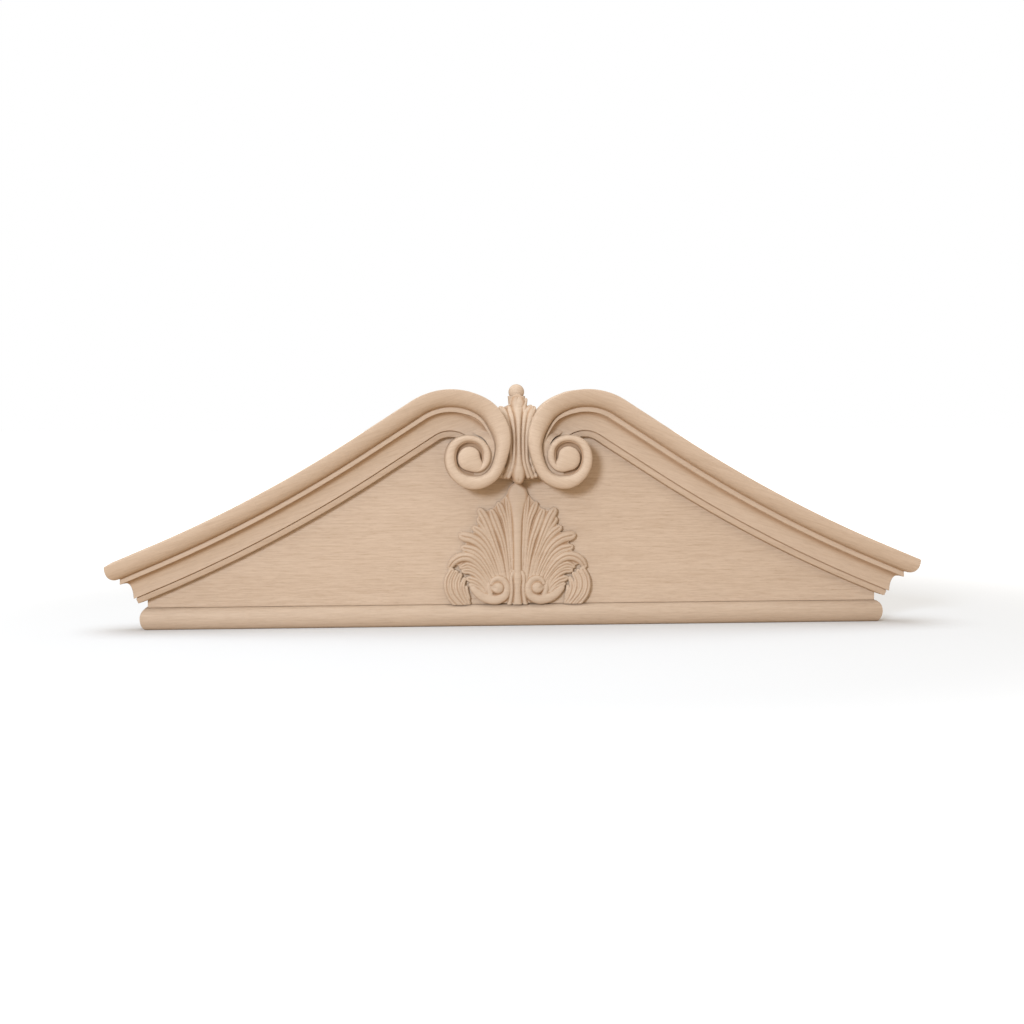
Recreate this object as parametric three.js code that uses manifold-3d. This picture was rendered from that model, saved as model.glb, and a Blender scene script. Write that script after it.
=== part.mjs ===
// Swan-neck door pediment in plain wood, built in millimetres with +Z up.
// X runs to the right seen from the front, Y runs into the wall, and the wall is the plane Y = 0.
// Heights are measured from the underside of the rail, and distances out are measured from the
// face of the board. The finished group is lowered, so that the origin lies on the back of the
// board at the height of the wall fixing.

import * as THREE from 'three';
import { mergeVertices } from 'three/addons/utils/BufferGeometryUtils.js';
import Module from 'manifold-3d';

const wasm = await Module();
wasm.setup();

// Board and rail
const boardLength = 1090;
const boardThickness = 25;
const railHeight = 32;
const railNosing = 11;
const railNosingWidest = 17;
const railUndercut = 5;
const jointGap = 0.3;
const wallFixingHeight = 150;

// Crown moulding: widths run down from its top edge, and faces and feet stand out from the board
const crownProjection = 55;
const ovoloWidth = 26.5;
const ovoloFoot = 36.4;
const filletWidth = 6.5;
const filletFace = 35.2;
const coveTop = 29.4;
const coveWidth = 25.5;
const coveFoot = 20;
const quirkWidth = 3.3;
const lowerFilletWidth = 8.7;
const lowerFilletFace = 14.2;
const lowerFilletFoot = 12;
const footBevel = 1.5;

// Top line of the rake: a straight end, a long hollow bend, a straight climb and the round crest.
// The two angles, in degrees, say how far it is hollowed from a straight line at each end.
const tipHeight = 97.5;
const tipHollowAngle = 5.4;
const crestHollowAngle = 4.4;
const straightEnd = 60;
const crestInset = 100;
const crestHeight = 352;
const crestRadius = 103;

// Volute, laid out round the middle of its eye
const eyeInset = 28;
const eyeDrop = 101.3;
const eyeRadius = 16.5;
const eyeTop = 48;
const eyeRim = 38;
const grooveFloor = 34;
const coilInside = 20;
const thinnestSqueeze = 0.05;

// Spiral of the volute at every eighth of a turn: the outer edge's distance from the eye, the
// width of the band inside it, and how far the band's ridge stands out
const spiralRadii = [97.5, 74.6, 54.2, 49, 44.7, 38.8, 36.4, 36.5, 34.4, 33, 31, 26, 23.7, 21.8, 19.9, 17.5];
const spiralBand = [26.5, 26.5, 22.6, 21.7, 19.8, 15, 12.8, 11.1, 10.3, 11.5, 13.5, 13, 12, 10, 8, 6];
const spiralRidge = [55, 55, 54, 52.5, 51, 49.5, 48, 47, 46.5, 46.5, 47, 47, 46, 44, 42, 40];
const bandOuterDrop = 8;
const bandInnerDrop = 11;

// Top of the board between the volutes, measured down from the crest
const valleyDrop = 47;
const valleyWidth = 32;
const shoulderDrop = 17;
const shoulderInset = 45;

// Finial: a turned neck and knob on the board's top, with a carved leaf hanging in front
const finialDrop = 36;
const finialGap = 1;
const finialRise = 8;
const knobRadius = 11.7;
const knobSetback = 5;
const neckShare = 0.72;
const collarShare = 0.95;
const finialPlate = 14;

// Shell: the carved fan of leaves with its scrolls, on a thin plate
const shellGap = 1.5;
const shellPlate = 3;
const scrollEyeRim = 9;

// Carved ribs: how far the blunt tip reaches past the last point, its width and its height, all
// as shares of that point's own, and how high the rib's shoulders stand as a share of its ridge
const tipReach = 0.75;
const tipWidth = 0.45;
const tipRise = 0.7;
const shellShoulder = 0.35;
const finialShoulder = 0.6;

const halfBoard = boardLength / 2;
const valleyHeight = crestHeight - valleyDrop;
const eye = new THREE.Vector2(crestInset - eyeInset, crestHeight - eyeDrop);
const finialFoot = eye.y - finialDrop;
const deg = Math.PI / 180;
const eighth = 45;
const spiralFrom = 90;
const coreFrom = spiralFrom + 2 * eighth;

const wood = (color, roughness) => new THREE.MeshStandardMaterial({ color, roughness, metalness: 0 });
const planed = wood(0xd9bb9c, 0.7);
const moulded = wood(0xd7b99b, 0.7);
const carved = wood(0xdabea2, 0.76);

// Geometry with its faces turned outwards, found from the sign of the enclosed volume
function facingOut(points, index) {
  let volume = 0;
  const corner = [new THREE.Vector3(), new THREE.Vector3(), new THREE.Vector3()];
  for (let face = 0; face < index.length; face += 3) {
    corner.forEach((v, k) => v.fromArray(points, 3 * index[face + k]));
    volume += corner[0].dot(corner[1].cross(corner[2]));
  }
  const geometry = new THREE.BufferGeometry();
  geometry.setAttribute('position', new THREE.Float32BufferAttribute(points, 3));
  geometry.setIndex(volume < 0 ? index.slice().reverse() : index);
  return geometry;
}

// Solid through closed rings of points. All rings have the corners of one flat outline, which
// also closes both ends.
function loft(rings, outline) {
  const count = outline.length;
  const index = [];
  for (let ring = 0; ring + 1 < rings.length; ring += 1) {
    for (let side = 0; side < count; side += 1) {
      const a = ring * count + side;
      const b = ring * count + ((side + 1) % count);
      index.push(a, b, b + count, a, b + count, a + count);
    }
  }
  const last = (rings.length - 1) * count;
  const clockwise = THREE.ShapeUtils.isClockWise(outline);
  for (const face of THREE.ShapeUtils.triangulateShape(outline, [])) {
    const [a, b, c] = clockwise ? face.reverse() : face;
    index.push(a, c, b);
    index.push(last + a, last + b, last + c);
  }
  return facingOut(rings.flat(2), index);
}

function toSolid(geometry) {
  const bare = geometry.clone();
  bare.deleteAttribute('normal');
  bare.deleteAttribute('uv');
  const merged = mergeVertices(bare, 1e-4);
  const vertProperties = new Float32Array(merged.attributes.position.array);
  const triVerts = new Uint32Array(merged.index.array);
  return new wasm.Manifold(new wasm.Mesh({ numProp: 3, vertProperties, triVerts }));
}

function join(geometries) {
  const whole = geometries.map(toSolid).reduce((sum, solid) => sum.add(solid));
  const mesh = whole.getMesh();
  return facingOut(Array.from(mesh.vertProperties), Array.from(mesh.triVerts));
}

function cut(geometry, away) {
  const mesh = toSolid(geometry).subtract(toSolid(away)).getMesh();
  return facingOut(Array.from(mesh.vertProperties), Array.from(mesh.triVerts));
}

// The same form on the other side of the middle
function mirrored(geometry) {
  const points = Array.from(geometry.attributes.position.array);
  for (let k = 0; k < points.length; k += 3) {
    points[k] = -points[k];
  }
  return facingOut(points, Array.from(geometry.index.array));
}

function steps(from, to, count) {
  return Array.from({ length: count + 1 }, (_, k) => from + ((to - from) * k) / count);
}

const mix = THREE.MathUtils.lerp;
const ease = (value) => THREE.MathUtils.smoothstep(value, 0, 1);

// Smooth value between listed ones, on a curve through them all
function through(values, place) {
  const last = values.length - 1;
  const at = (k) => values[Math.min(Math.max(k, 0), last)];
  const k = Math.min(Math.max(Math.floor(place), 0), last - 1);
  const t = Math.min(Math.max(place - k, 0), 1);
  const rise = at(k + 1) - at(k);
  const into = (at(k + 1) - at(k - 1)) / 2;
  const out = (at(k + 2) - at(k)) / 2;
  return at(k) + t * (into + t * (3 * rise - 2 * into - out + t * (into + out - 2 * rise)));
}

// Top line of the right rake and volute, as stations. Each has its point, the direction across
// the moulding towards its foot, and the angle round the eye once the line is the spiral.
const mitreTop = new THREE.Vector2(halfBoard + crownProjection, tipHeight);
const crestCentre = new THREE.Vector2(crestInset, crestHeight - crestRadius);
const toCrest = crestCentre.clone().sub(mitreTop);
const straightSlope = Math.atan2(toCrest.y, -toCrest.x) + Math.asin(crestRadius / toCrest.length());
const tipSlope = straightSlope - tipHollowAngle * deg;
const crestSlope = straightSlope + crestHollowAngle * deg;
const climb = new THREE.Vector2(-Math.cos(tipSlope), Math.sin(tipSlope));

// The bend touches the straight end and the straight climb, which meet at its corner
function rakeStations() {
  const acrossAt = (angle) => new THREE.Vector2(-Math.sin(angle), -Math.cos(angle));
  const straight = Math.sqrt(toCrest.lengthSq() - crestRadius ** 2);
  const turn = crestSlope - tipSlope;
  const toCorner = (straight * Math.sin(crestHollowAngle * deg)) / Math.sin(turn);
  const bendRadius = (toCorner - straightEnd) / Math.tan(turn / 2);
  const bendStart = mitreTop.clone().addScaledVector(climb, straightEnd);
  const bendCentre = bendStart.addScaledVector(acrossAt(tipSlope), -bendRadius);
  const bend = steps(tipSlope, crestSlope, 7).map((angle) => ({
    point: bendCentre.clone().addScaledVector(acrossAt(angle), bendRadius),
    across: acrossAt(angle),
  }));
  const crest = steps(crestSlope, -Math.asin(eyeInset / crestRadius), 8).map((angle) => ({
    point: crestCentre.clone().addScaledVector(acrossAt(angle), -crestRadius),
    across: acrossAt(angle),
  }));
  return bend.concat(crest);
}

// The spiral leaves the crest's circle within its first eighth of a turn
function spiralPoint(angle) {
  const ray = new THREE.Vector2(Math.cos(angle * deg), Math.sin(angle * deg));
  const offset = eye.clone().sub(crestCentre);
  const along = offset.dot(ray);
  const onCrest = Math.sqrt(along * along - offset.lengthSq() + crestRadius ** 2) - along;
  const place = (angle - spiralFrom) / eighth;
  const onSpiral = through(spiralRadii, place);
  return ray.multiplyScalar(mix(onCrest, onSpiral, ease(place))).add(eye);
}

function spiralStations(to, count) {
  return steps(spiralFrom, to, count).slice(1).map((angle) => {
    const along = spiralPoint(angle + 0.5).sub(spiralPoint(angle - 0.5)).normalize();
    return { point: spiralPoint(angle), across: new THREE.Vector2(-along.y, along.x), angle };
  });
}

// Points of a section on a station: each has its distance across and its distance out
function ringOn(station, section) {
  return section.map(([across, out]) => {
    const at = station.point.clone().addScaledVector(station.across, across);
    return [at.x, -boardThickness - out, at.y];
  });
}

// Points of a section on the mitre, where every part of it is as far past the board's end as it
// stands out from the board's face
function mitreRing(section, gap) {
  const acrossEnd = new THREE.Vector2(-climb.y, climb.x);
  return section.map(([across, out]) => {
    const run = (mitreTop.x + acrossEnd.x * across - halfBoard - out + gap) / -climb.x;
    const at = mitreTop.clone().addScaledVector(climb, run).addScaledVector(acrossEnd, across);
    return [at.x, -boardThickness - out, at.y];
  });
}

const flat = (section) => section.map(([across, out]) => new THREE.Vector2(across, out));

// Round member of the crown. On the rake it is a quarter-round under a sharp top edge, and round
// the volute it becomes a band that is round on both edges.
function roundMember(width, ridge, rounding) {
  const curve = steps(0, 1, 5).map((t) => {
    const quarter = (t * Math.PI) / 2;
    const half = t * Math.PI;
    const edge = ridge - mix(bandOuterDrop, bandInnerDrop, t);
    const rake = [width * Math.sin(quarter), mix(ovoloFoot, crownProjection, Math.cos(quarter))];
    const band = [(width * (1 - Math.cos(half))) / 2, mix(edge, ridge, Math.sin(half))];
    return [mix(rake[0], band[0], rounding), mix(rake[1], band[1], rounding)];
  });
  return [[0, jointGap], ...curve, [width, jointGap]];
}

function spiralMember(angle) {
  const place = (angle - spiralFrom) / eighth;
  const rounding = ease(place / 2);
  return roundMember(through(spiralBand, place), through(spiralRidge, place), rounding);
}

// Members below the round one: fillet, cove, quirk and lower fillet. Past the crest they are
// squeezed towards the fillet, so that they run out under the coil of the volute.
function lowerMembers(squeeze) {
  const filletEnd = ovoloWidth + filletWidth;
  const coveStart = filletEnd + 1;
  const coveEnd = coveStart + coveWidth;
  const lowerStart = coveEnd + quirkWidth;
  const lowerEnd = lowerStart + lowerFilletWidth;
  const cove = steps(0, 1, 5).map((t) => {
    const fromFoot = 1 - t;
    return [coveEnd - coveWidth * fromFoot, coveTop - (coveTop - coveFoot) * Math.sqrt(1 - fromFoot ** 2)];
  });
  const section = [
    [ovoloWidth / 2, jointGap],
    [ovoloWidth / 2, filletFace],
    [filletEnd, filletFace],
    ...cove,
    [lowerStart, lowerFilletFace],
    [lowerEnd, lowerFilletFoot],
    [lowerEnd + footBevel, jointGap],
  ];
  return section.map(([across, out]) => {
    return [across > filletEnd ? mix(filletEnd, across, squeeze) : across, out];
  });
}

const crownDepth = lowerMembers(1).at(-1)[0];

// Room left for the lower members between the fillet and the coil
function squeezeAt(angle) {
  const filletEnd = ovoloWidth + filletWidth;
  const room = spiralPoint(angle).distanceTo(eye) - coilInside - filletEnd;
  return THREE.MathUtils.clamp(room / (crownDepth - filletEnd), thinnestSqueeze, 1);
}

function crown() {
  const rake = rakeStations();
  const spiralTo = spiralFrom + eighth * (spiralRadii.length - 1);
  const plain = roundMember(ovoloWidth, crownProjection, 0);
  const roundRings = [
    mitreRing(plain, jointGap),
    ...rake.map((station) => ringOn(station, plain)),
    ...spiralStations(spiralTo, 36).map((station) => ringOn(station, spiralMember(station.angle))),
  ];
  const lower = lowerMembers(1);
  const lowerRings = [
    mitreRing(lower, jointGap),
    ...rake.map((station) => ringOn(station, lower)),
    ...spiralStations(spiralFrom + 2 * eighth, 6).map((station) => {
      return ringOn(station, lowerMembers(squeezeAt(station.angle)));
    }),
  ];
  return join([loft(roundRings, flat(plain)), loft(lowerRings, flat(lower)), coilCore(), eyeDome()]);
}

// Ground of the grooves between the turns of the volute
function coilCore() {
  const outline = steps(coreFrom, coreFrom + 8 * eighth, 20).map((angle) => {
    const inside = through(spiralBand, (angle - spiralFrom) / eighth) / 2;
    const radius = spiralPoint(angle).distanceTo(eye) - inside;
    const ray = new THREE.Vector2(Math.cos(angle * deg), Math.sin(angle * deg));
    return ray.multiplyScalar(radius).add(eye);
  });
  return plate(outline, jointGap, grooveFloor);
}

function eyeDome() {
  const bevel = steps(0, Math.PI / 2, 4).map((angle) => {
    return new THREE.Vector2(eyeRadius * Math.cos(angle), mix(eyeRim, eyeTop, Math.sin(angle)));
  });
  bevel[bevel.length - 1].x = 0;
  const profile = [new THREE.Vector2(0, coveFoot), new THREE.Vector2(eyeRadius, coveFoot), ...bevel];
  const dome = new THREE.LatheGeometry(profile, 18);
  dome.rotateX(Math.PI);
  dome.translate(eye.x, -boardThickness, eye.y);
  return facingOut(...merge(dome));
}

// Points and faces of a geometry whose doubled points are made one
function merge(geometry) {
  const bare = geometry.clone();
  bare.deleteAttribute('normal');
  bare.deleteAttribute('uv');
  const merged = mergeVertices(bare, 1e-4);
  const index = Array.from(merged.index.array);
  const kept = [];
  for (let face = 0; face < index.length; face += 3) {
    const [a, b, c] = index.slice(face, face + 3);
    if (a !== b && b !== c && c !== a) {
      kept.push(a, b, c);
    }
  }
  return [Array.from(merged.attributes.position.array), kept];
}

// Flat plate with the outline given across and up, between two distances from the board's face
function plate(outline, from, to) {
  const ring = (out) => outline.map((point) => [point.x, -boardThickness - out, point.y]);
  return loft([ring(from), ring(to)], outline);
}

function crownReturn() {
  const section = [
    [0, jointGap],
    ...roundMember(ovoloWidth, crownProjection, 0).slice(1, -1),
    ...lowerMembers(1).slice(2),
  ];
  const front = mitreRing(section, 0).map(([x, y, z]) => [x, y + jointGap, z]);
  const back = front.map(([x, , z]) => [x, 0, z]);
  return loft([back, front], flat(section));
}

function board() {
  const stations = [...rakeStations().slice(0, -3)];
  const end = new THREE.Vector2(halfBoard, 0);
  end.y = mitreTop.y + ((mitreTop.x - halfBoard) * climb.y) / -climb.x;
  const right = [
    new THREE.Vector2(halfBoard, railHeight + jointGap),
    end,
    ...stations.map((station) => station.point),
    new THREE.Vector2(shoulderInset, crestHeight - shoulderDrop),
    new THREE.Vector2(valleyWidth / 2, valleyHeight),
  ];
  const left = right.map((point) => new THREE.Vector2(-point.x, point.y)).reverse();
  return plate([...right, ...left], 0, -boardThickness);
}

function rail() {
  const lower = steps(0, Math.PI / 2, 5).map((angle) => [
    mix(railNosing - railUndercut, railNosing, Math.sin(angle)),
    railNosingWidest * (1 - Math.cos(angle)),
  ]);
  const upper = steps(0, Math.PI / 2, 6).map((angle) => [
    railNosing * Math.cos(angle),
    mix(railNosingWidest, railHeight, Math.sin(angle)),
  ]);
  const rings = [...lower, ...upper.slice(1)].map(([nosing, height]) => [
    [halfBoard + nosing, 0, height],
    [halfBoard + nosing, -boardThickness - nosing, height],
    [-halfBoard - nosing, -boardThickness - nosing, height],
    [-halfBoard - nosing, 0, height],
  ]);
  return loft(rings, [[1, 0], [1, 1], [0, 1], [0, 0]].map(([x, y]) => new THREE.Vector2(x, y)));
}

// A carved leaf or strand: a rounded rib along a smooth line. Each point has its place across and
// up, the rib's half width and how far its ridge stands out. A blunt tip is added past the last.
function rib(listed, shoulder, placed) {
  const near = 0.05;
  const [before, end] = listed.slice(-2);
  const away = new THREE.Vector2(end[0] - before[0], end[1] - before[1]).setLength(tipReach * end[2]);
  const tip = [end[0] + away.x, end[1] + away.y, tipWidth * end[2], tipRise * end[3]];
  const points = [...listed, tip];
  const channels = [0, 1, 2, 3].map((k) => points.map((point) => point[k]));
  const at = (place) => channels.map((channel) => through(channel, place));
  const section = [[-1, -1], ...steps(Math.PI, 0, 4).map((a) => [Math.cos(a), Math.sin(a)]), [1, -1]];
  const rings = steps(0, points.length - 1, points.length + 1).map((place) => {
    const [across, up, half, ridge] = at(place);
    const [fromAcross, fromUp] = at(place - near);
    const [toAcross, toUp] = at(place + near);
    const side = new THREE.Vector2(toUp - fromUp, fromAcross - toAcross).setLength(half);
    return section.map(([u, v]) => {
      const out = v < 0 ? jointGap : ridge * mix(shoulder, 1, v);
      const [x, z] = placed(across + side.x * u, up + side.y * u);
      return [x, -boardThickness - out, z];
    });
  });
  return loft(rings, flat(section));
}

const reflected = ([across, up, half, ridge]) => [-across, up, half, ridge];

// A rib and its twin on the other side of the middle
function ribPair(points, shoulder, placed) {
  return [rib(points, shoulder, placed), rib(points.map(reflected), shoulder, placed)];
}

// Outline of both sides from the listed right side, which runs between two points on the middle
function bothSides(listed, placed) {
  const right = listed.map((point) => new THREE.Vector2(...placed(...point)));
  const left = right.slice(1, -1).map((point) => new THREE.Vector2(-point.x, point.y)).reverse();
  return [...right, ...left];
}

// Finial, drawn in millimetres up from its foot. Its waist fills the gap between the volutes.
const finialDrawn = { height: 145, halfWaist: 11.9, plate: [
  [0, 128], [9, 127], [11, 115], [22, 110], [19, 98], [13.5, 84], [11.9, 68], [11.9, 44],
  [15, 26], [22, 13], [20, 6], [8, 3], [0, 0],
] };
const finialStem = [
  [0, 0, 1.5, 26], [0, 7, 8, 36], [0, 16, 10, 40], [0, 32, 7.5, 39], [0, 57, 5.5, 36],
  [0, 85, 8.5, 32], [0, 105, 10, 27], [0, 118, 9, 19], [0, 127, 8, 11],
];
const finialLeaf = [
  [21, 9, 5, 26], [14, 23, 4.5, 32], [9, 41, 2.9, 33], [9, 60, 2.9, 31],
  [10.5, 80, 3, 28], [15.5, 97, 4.5, 24], [21.5, 107, 4, 19],
];
const finialLeaflet = [[7, 105, 4, 22], [9, 118, 4, 17], [9.5, 129, 2.5, 11]];

function finial() {
  const volute = steps(spiralFrom, spiralFrom + 4 * eighth, 24).map((angle) => spiralPoint(angle).x);
  const height = crestHeight + finialRise - finialFoot;
  const widen = (Math.min(...volute) - finialGap) / finialDrawn.halfWaist;
  const raise = height / finialDrawn.height;
  const placed = (across, up) => [across * widen, finialFoot + up * raise];
  return join([
    plate(bothSides(finialDrawn.plate, placed), jointGap, finialPlate),
    rib(finialStem, finialShoulder, placed),
    ...ribPair(finialLeaf, finialShoulder, placed),
    ...ribPair(finialLeaflet, finialShoulder, placed),
    turnedKnob(),
  ]);
}

// Neck, collar and knob, turned round an upright line over the board's thickness
function turnedKnob() {
  const knobCentre = crestHeight + finialRise - knobRadius;
  const neck = neckShare * knobRadius;
  const collar = collarShare * knobRadius;
  const collarHeight = knobCentre - knobRadius / 2;
  const ball = steps(-20 * deg, Math.PI / 2, 6).map((angle) => {
    return new THREE.Vector2(knobRadius * Math.cos(angle), knobCentre + knobRadius * Math.sin(angle));
  });
  ball[ball.length - 1].x = 0;
  const profile = [
    new THREE.Vector2(0, valleyHeight + jointGap),
    new THREE.Vector2(neck, valleyHeight + jointGap),
    new THREE.Vector2(neck, collarHeight - knobRadius / 2),
    new THREE.Vector2(collar, collarHeight - 1),
    new THREE.Vector2(collar, collarHeight + 1),
    ...ball,
  ];
  const knob = new THREE.LatheGeometry(profile, 16);
  knob.rotateX(Math.PI / 2);
  knob.translate(0, knobSetback - boardThickness, 0);
  return facingOut(...merge(knob));
}

// Shell, drawn in millimetres up from the rail. The right half is listed and its left half
// mirrors it.
const shellDrawn = { height: 181, plate: [
  [0, 174], [13, 166], [27, 156], [38, 146], [54, 140], [57, 128], [62, 117], [60, 108], [82, 104],
  [80, 87], [78, 77], [94, 70], [97, 62], [80, 56], [70, 44], [66, 30], [60, 14], [44, 4], [0, 1],
] };
const shellStem = [
  [0, 50, 6.5, 13], [0, 96, 6.5, 12.5], [0, 134, 9, 12], [0, 160, 15, 11], [0, 170, 14, 9], [0, 180.8, 1, 4],
];
const shellFoot = [
  [0, -2, 10, 11], [0, 12, 7.5, 12], [0, 26, 6.5, 13], [0, 40, 9.5, 14], [0, 48, 11, 13], [0, 54, 7, 10],
];
const shellLeaves = [
  [[8.5, 60, 2.5, 9], [9.5, 96, 2.5, 9], [13, 134, 3, 9], [18, 160, 3, 7]],
  [[10, 58, 2.5, 9], [14, 96, 4, 10], [20, 134, 6, 10.5], [28, 152, 5, 9]],
  [[14, 48, 3, 9], [18, 70, 4.2, 10], [24, 96, 5.2, 10.5], [31, 122, 6.4, 11], [39, 142, 5.2, 9]],
  [[20, 48, 3, 9], [26, 72, 4.2, 10], [34, 96, 5, 11], [44, 120, 6, 11.5], [54, 137, 5.8, 9]],
  [[24, 46, 3, 9], [31, 70, 3.6, 10], [40, 92, 4.2, 10], [49, 110, 4.6, 10], [56, 122, 4.4, 8]],
  [[27, 44, 3, 9], [34, 64, 3.6, 9.5], [43, 85, 4.2, 10], [54, 103, 4.6, 9.5], [62, 112, 4.4, 8]],
  [[31, 44, 3, 9], [41, 63, 4.6, 10], [52, 79, 5.6, 11], [67, 95, 6.4, 11.5], [81, 102, 6.2, 9]],
  [[35, 42, 3, 9], [44, 56, 4, 10], [54, 68, 4.6, 10], [67, 79, 5, 10], [79, 85, 4.6, 8]],
  [
    [41, 38, 3, 9], [50, 48, 4.4, 10], [62, 60, 5.6, 11],
    [78, 69, 6.8, 11.5], [93, 69, 6.8, 11], [100, 61, 5, 8],
  ],
  [[45, 33, 3, 8], [55, 43, 4, 9], [66, 51, 4.6, 9.5], [77, 51, 4, 8]],
  [[45, 27, 3, 8], [54, 34, 4.2, 9], [62, 38, 4.6, 9], [71, 36.5, 4, 8]],
  [
    [66, 25, 3.5, 7], [60, 13, 6.4, 10], [43, 7, 6.6, 12],
    [25, 10, 6.4, 12.5], [18.5, 25, 5.4, 12.5], [25, 36, 4, 12],
  ],
  [[9, -2, 3, 8], [10.5, 22, 3, 9], [11.5, 40, 3, 9]],
  [[96, 59, 4.5, 8], [105.5, 45, 5, 9], [106.5, 27, 5, 10], [101, 10, 5, 9], [92, -3, 4.5, 8]],
  [[86, 47, 3.5, 7], [96, 37, 5.4, 9], [97.5, 22, 5.4, 9], [91, 7, 5, 8], [86, -3, 4.5, 7]],
  [[75, 32, 2.5, 6], [85, 27, 5, 8], [89, 15, 5, 8], [85, -3, 5, 7]],
];
const shellEye = { across: 31, up: 27, radius: 8, out: 14 };

function shell() {
  const height = finialFoot - shellGap - railHeight;
  const scale = height / shellDrawn.height;
  const placed = (across, up) => [across * scale, railHeight + up * scale];
  const whole = join([
    plate(bothSides(shellDrawn.plate, placed), jointGap, shellPlate),
    rib(shellStem, shellShoulder, placed),
    rib(shellFoot, shellShoulder, placed),
    ...shellLeaves.flatMap((leaf) => ribPair(leaf, shellShoulder, placed)),
    scrollEye(placed(shellEye.across, shellEye.up), shellEye.radius * scale),
    scrollEye(placed(-shellEye.across, shellEye.up), shellEye.radius * scale),
  ]);
  const below = new THREE.BoxGeometry(boardLength, boardThickness * 4, railHeight);
  below.translate(0, -boardThickness, railHeight / 2 + jointGap);
  return cut(whole, below);
}

function scrollEye([across, up], radius) {
  const profile = [new THREE.Vector2(0, shellPlate / 2), new THREE.Vector2(radius, shellPlate / 2)];
  for (const angle of steps(0, Math.PI / 2, 3)) {
    const out = mix(scrollEyeRim, shellEye.out, Math.sin(angle));
    profile.push(new THREE.Vector2(radius * Math.cos(angle), out));
  }
  profile[profile.length - 1].x = 0;
  const dome = new THREE.LatheGeometry(profile, 10);
  dome.rotateX(Math.PI);
  dome.translate(across, -boardThickness, up);
  return facingOut(...merge(dome));
}

function addPart(group, name, geometry, material) {
  const mesh = new THREE.Mesh(geometry, material);
  mesh.name = name;
  group.add(mesh);
}

const pediment = new THREE.Group();
const crownRight = crown();
const returnRight = crownReturn();
addPart(pediment, 'tympanum_board', board(), planed);
addPart(pediment, 'base_rail', rail(), planed);
addPart(pediment, 'crown_right', crownRight, moulded);
addPart(pediment, 'crown_left', mirrored(crownRight), moulded);
addPart(pediment, 'return_right', returnRight, moulded);
addPart(pediment, 'return_left', mirrored(returnRight), moulded);
addPart(pediment, 'finial', finial(), carved);
addPart(pediment, 'shell', shell(), carved);
pediment.position.z = -wallFixingHeight;

export default pediment;
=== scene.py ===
"""Looks of a swan-neck door pediment in pale, unfinished wood.

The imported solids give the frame. Each visible piece is a fine surface that stands for one of
them: the board, the rail, the two crowns with their volutes, their returns to the wall, the
carved finial and the carved shell.
"""

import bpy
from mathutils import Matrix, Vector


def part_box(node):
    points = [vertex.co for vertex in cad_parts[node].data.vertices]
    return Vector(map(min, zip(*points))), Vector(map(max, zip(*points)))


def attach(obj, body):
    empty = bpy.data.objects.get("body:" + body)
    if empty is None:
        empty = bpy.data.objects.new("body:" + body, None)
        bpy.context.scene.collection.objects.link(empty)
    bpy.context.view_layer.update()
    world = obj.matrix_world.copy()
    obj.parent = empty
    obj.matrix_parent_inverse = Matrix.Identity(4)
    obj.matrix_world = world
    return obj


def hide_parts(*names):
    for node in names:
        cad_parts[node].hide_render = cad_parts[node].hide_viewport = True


bl_info = {
    "name": "Swan-neck door pediment",
    "version": (1, 0, 0),
    "blender": (4, 5, 0),
    "location": "3D View > Sidebar > Pediment",
    "description": "Dresses a door pediment with volutes, a carved finial and a carved shell",
    "category": "Add Mesh",
}

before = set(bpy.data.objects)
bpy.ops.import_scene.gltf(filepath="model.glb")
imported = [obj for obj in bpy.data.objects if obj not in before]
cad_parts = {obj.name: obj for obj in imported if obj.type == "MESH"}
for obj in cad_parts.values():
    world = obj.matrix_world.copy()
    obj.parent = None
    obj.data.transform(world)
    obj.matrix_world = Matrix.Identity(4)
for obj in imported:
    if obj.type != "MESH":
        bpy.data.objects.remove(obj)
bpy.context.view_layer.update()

import math

import bmesh
import bpy
import numpy as np
from bpy.props import FloatProperty, FloatVectorProperty, PointerProperty
from mathutils import Euler, Vector

# Shapes are worked out in millimetres and placed in metres
MM = 0.001

board_low, board_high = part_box("tympanum_board")
rail_low, rail_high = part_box("base_rail")
crown_low, crown_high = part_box("crown_right")
finial_low, finial_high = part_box("finial")
_, shell_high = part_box("shell")

BOARD_FACE = board_low.y
UNDERSIDE = rail_low.z
JOINT_GAP = 0.3
ARRIS = 0.7

# Crown moulding: widths run down from its top edge, and faces and feet stand out from the board.
# A painted shade's pair is how dark it gets and the share of the section that it starts from
OVOLO_FOOT = 36.4
FILLET_FACE = 35.2
COVE_TOP = 29.4
COVE_FOOT = 18.0
QUIRK = 1.6
QUIRK_DEPTH = 1.6
QUIRK_WIDTH = 1.6
QUIRK_FLOOR = 13.8
QUIRK_FLOOR_SPAN = (0.4, 1.3)
QUIRK_FLOOR_SHADE = 0.8
COVE_SHADE = (0.75, 0.68)
RAKE_SHADE = (0.55, 0.62)
BAND_SHADE = (0.6, 0.86)
LOWER_FILLET_FACE = 14.8
LOWER_FILLET_FOOT = 12.0
FOOT_BEVEL = 1.5
COVE_SPREAD = 0.8
LOWER_FILLET_TRIM = 1.0
UNDER_FILLET = 3.0
SEAM_SHADE = 0.35
BEND_STEPS = 70
CREST_STEPS = 60
BOARD_STATIONS = 437

# Rake: how far it is hollowed from a straight line at each end, and its straight end
TIP_HEIGHT = 97.5
TIP_HOLLOW = math.radians(5.4)
CREST_HOLLOW = math.radians(4.4)
STRAIGHT_END = 60.0

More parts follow.
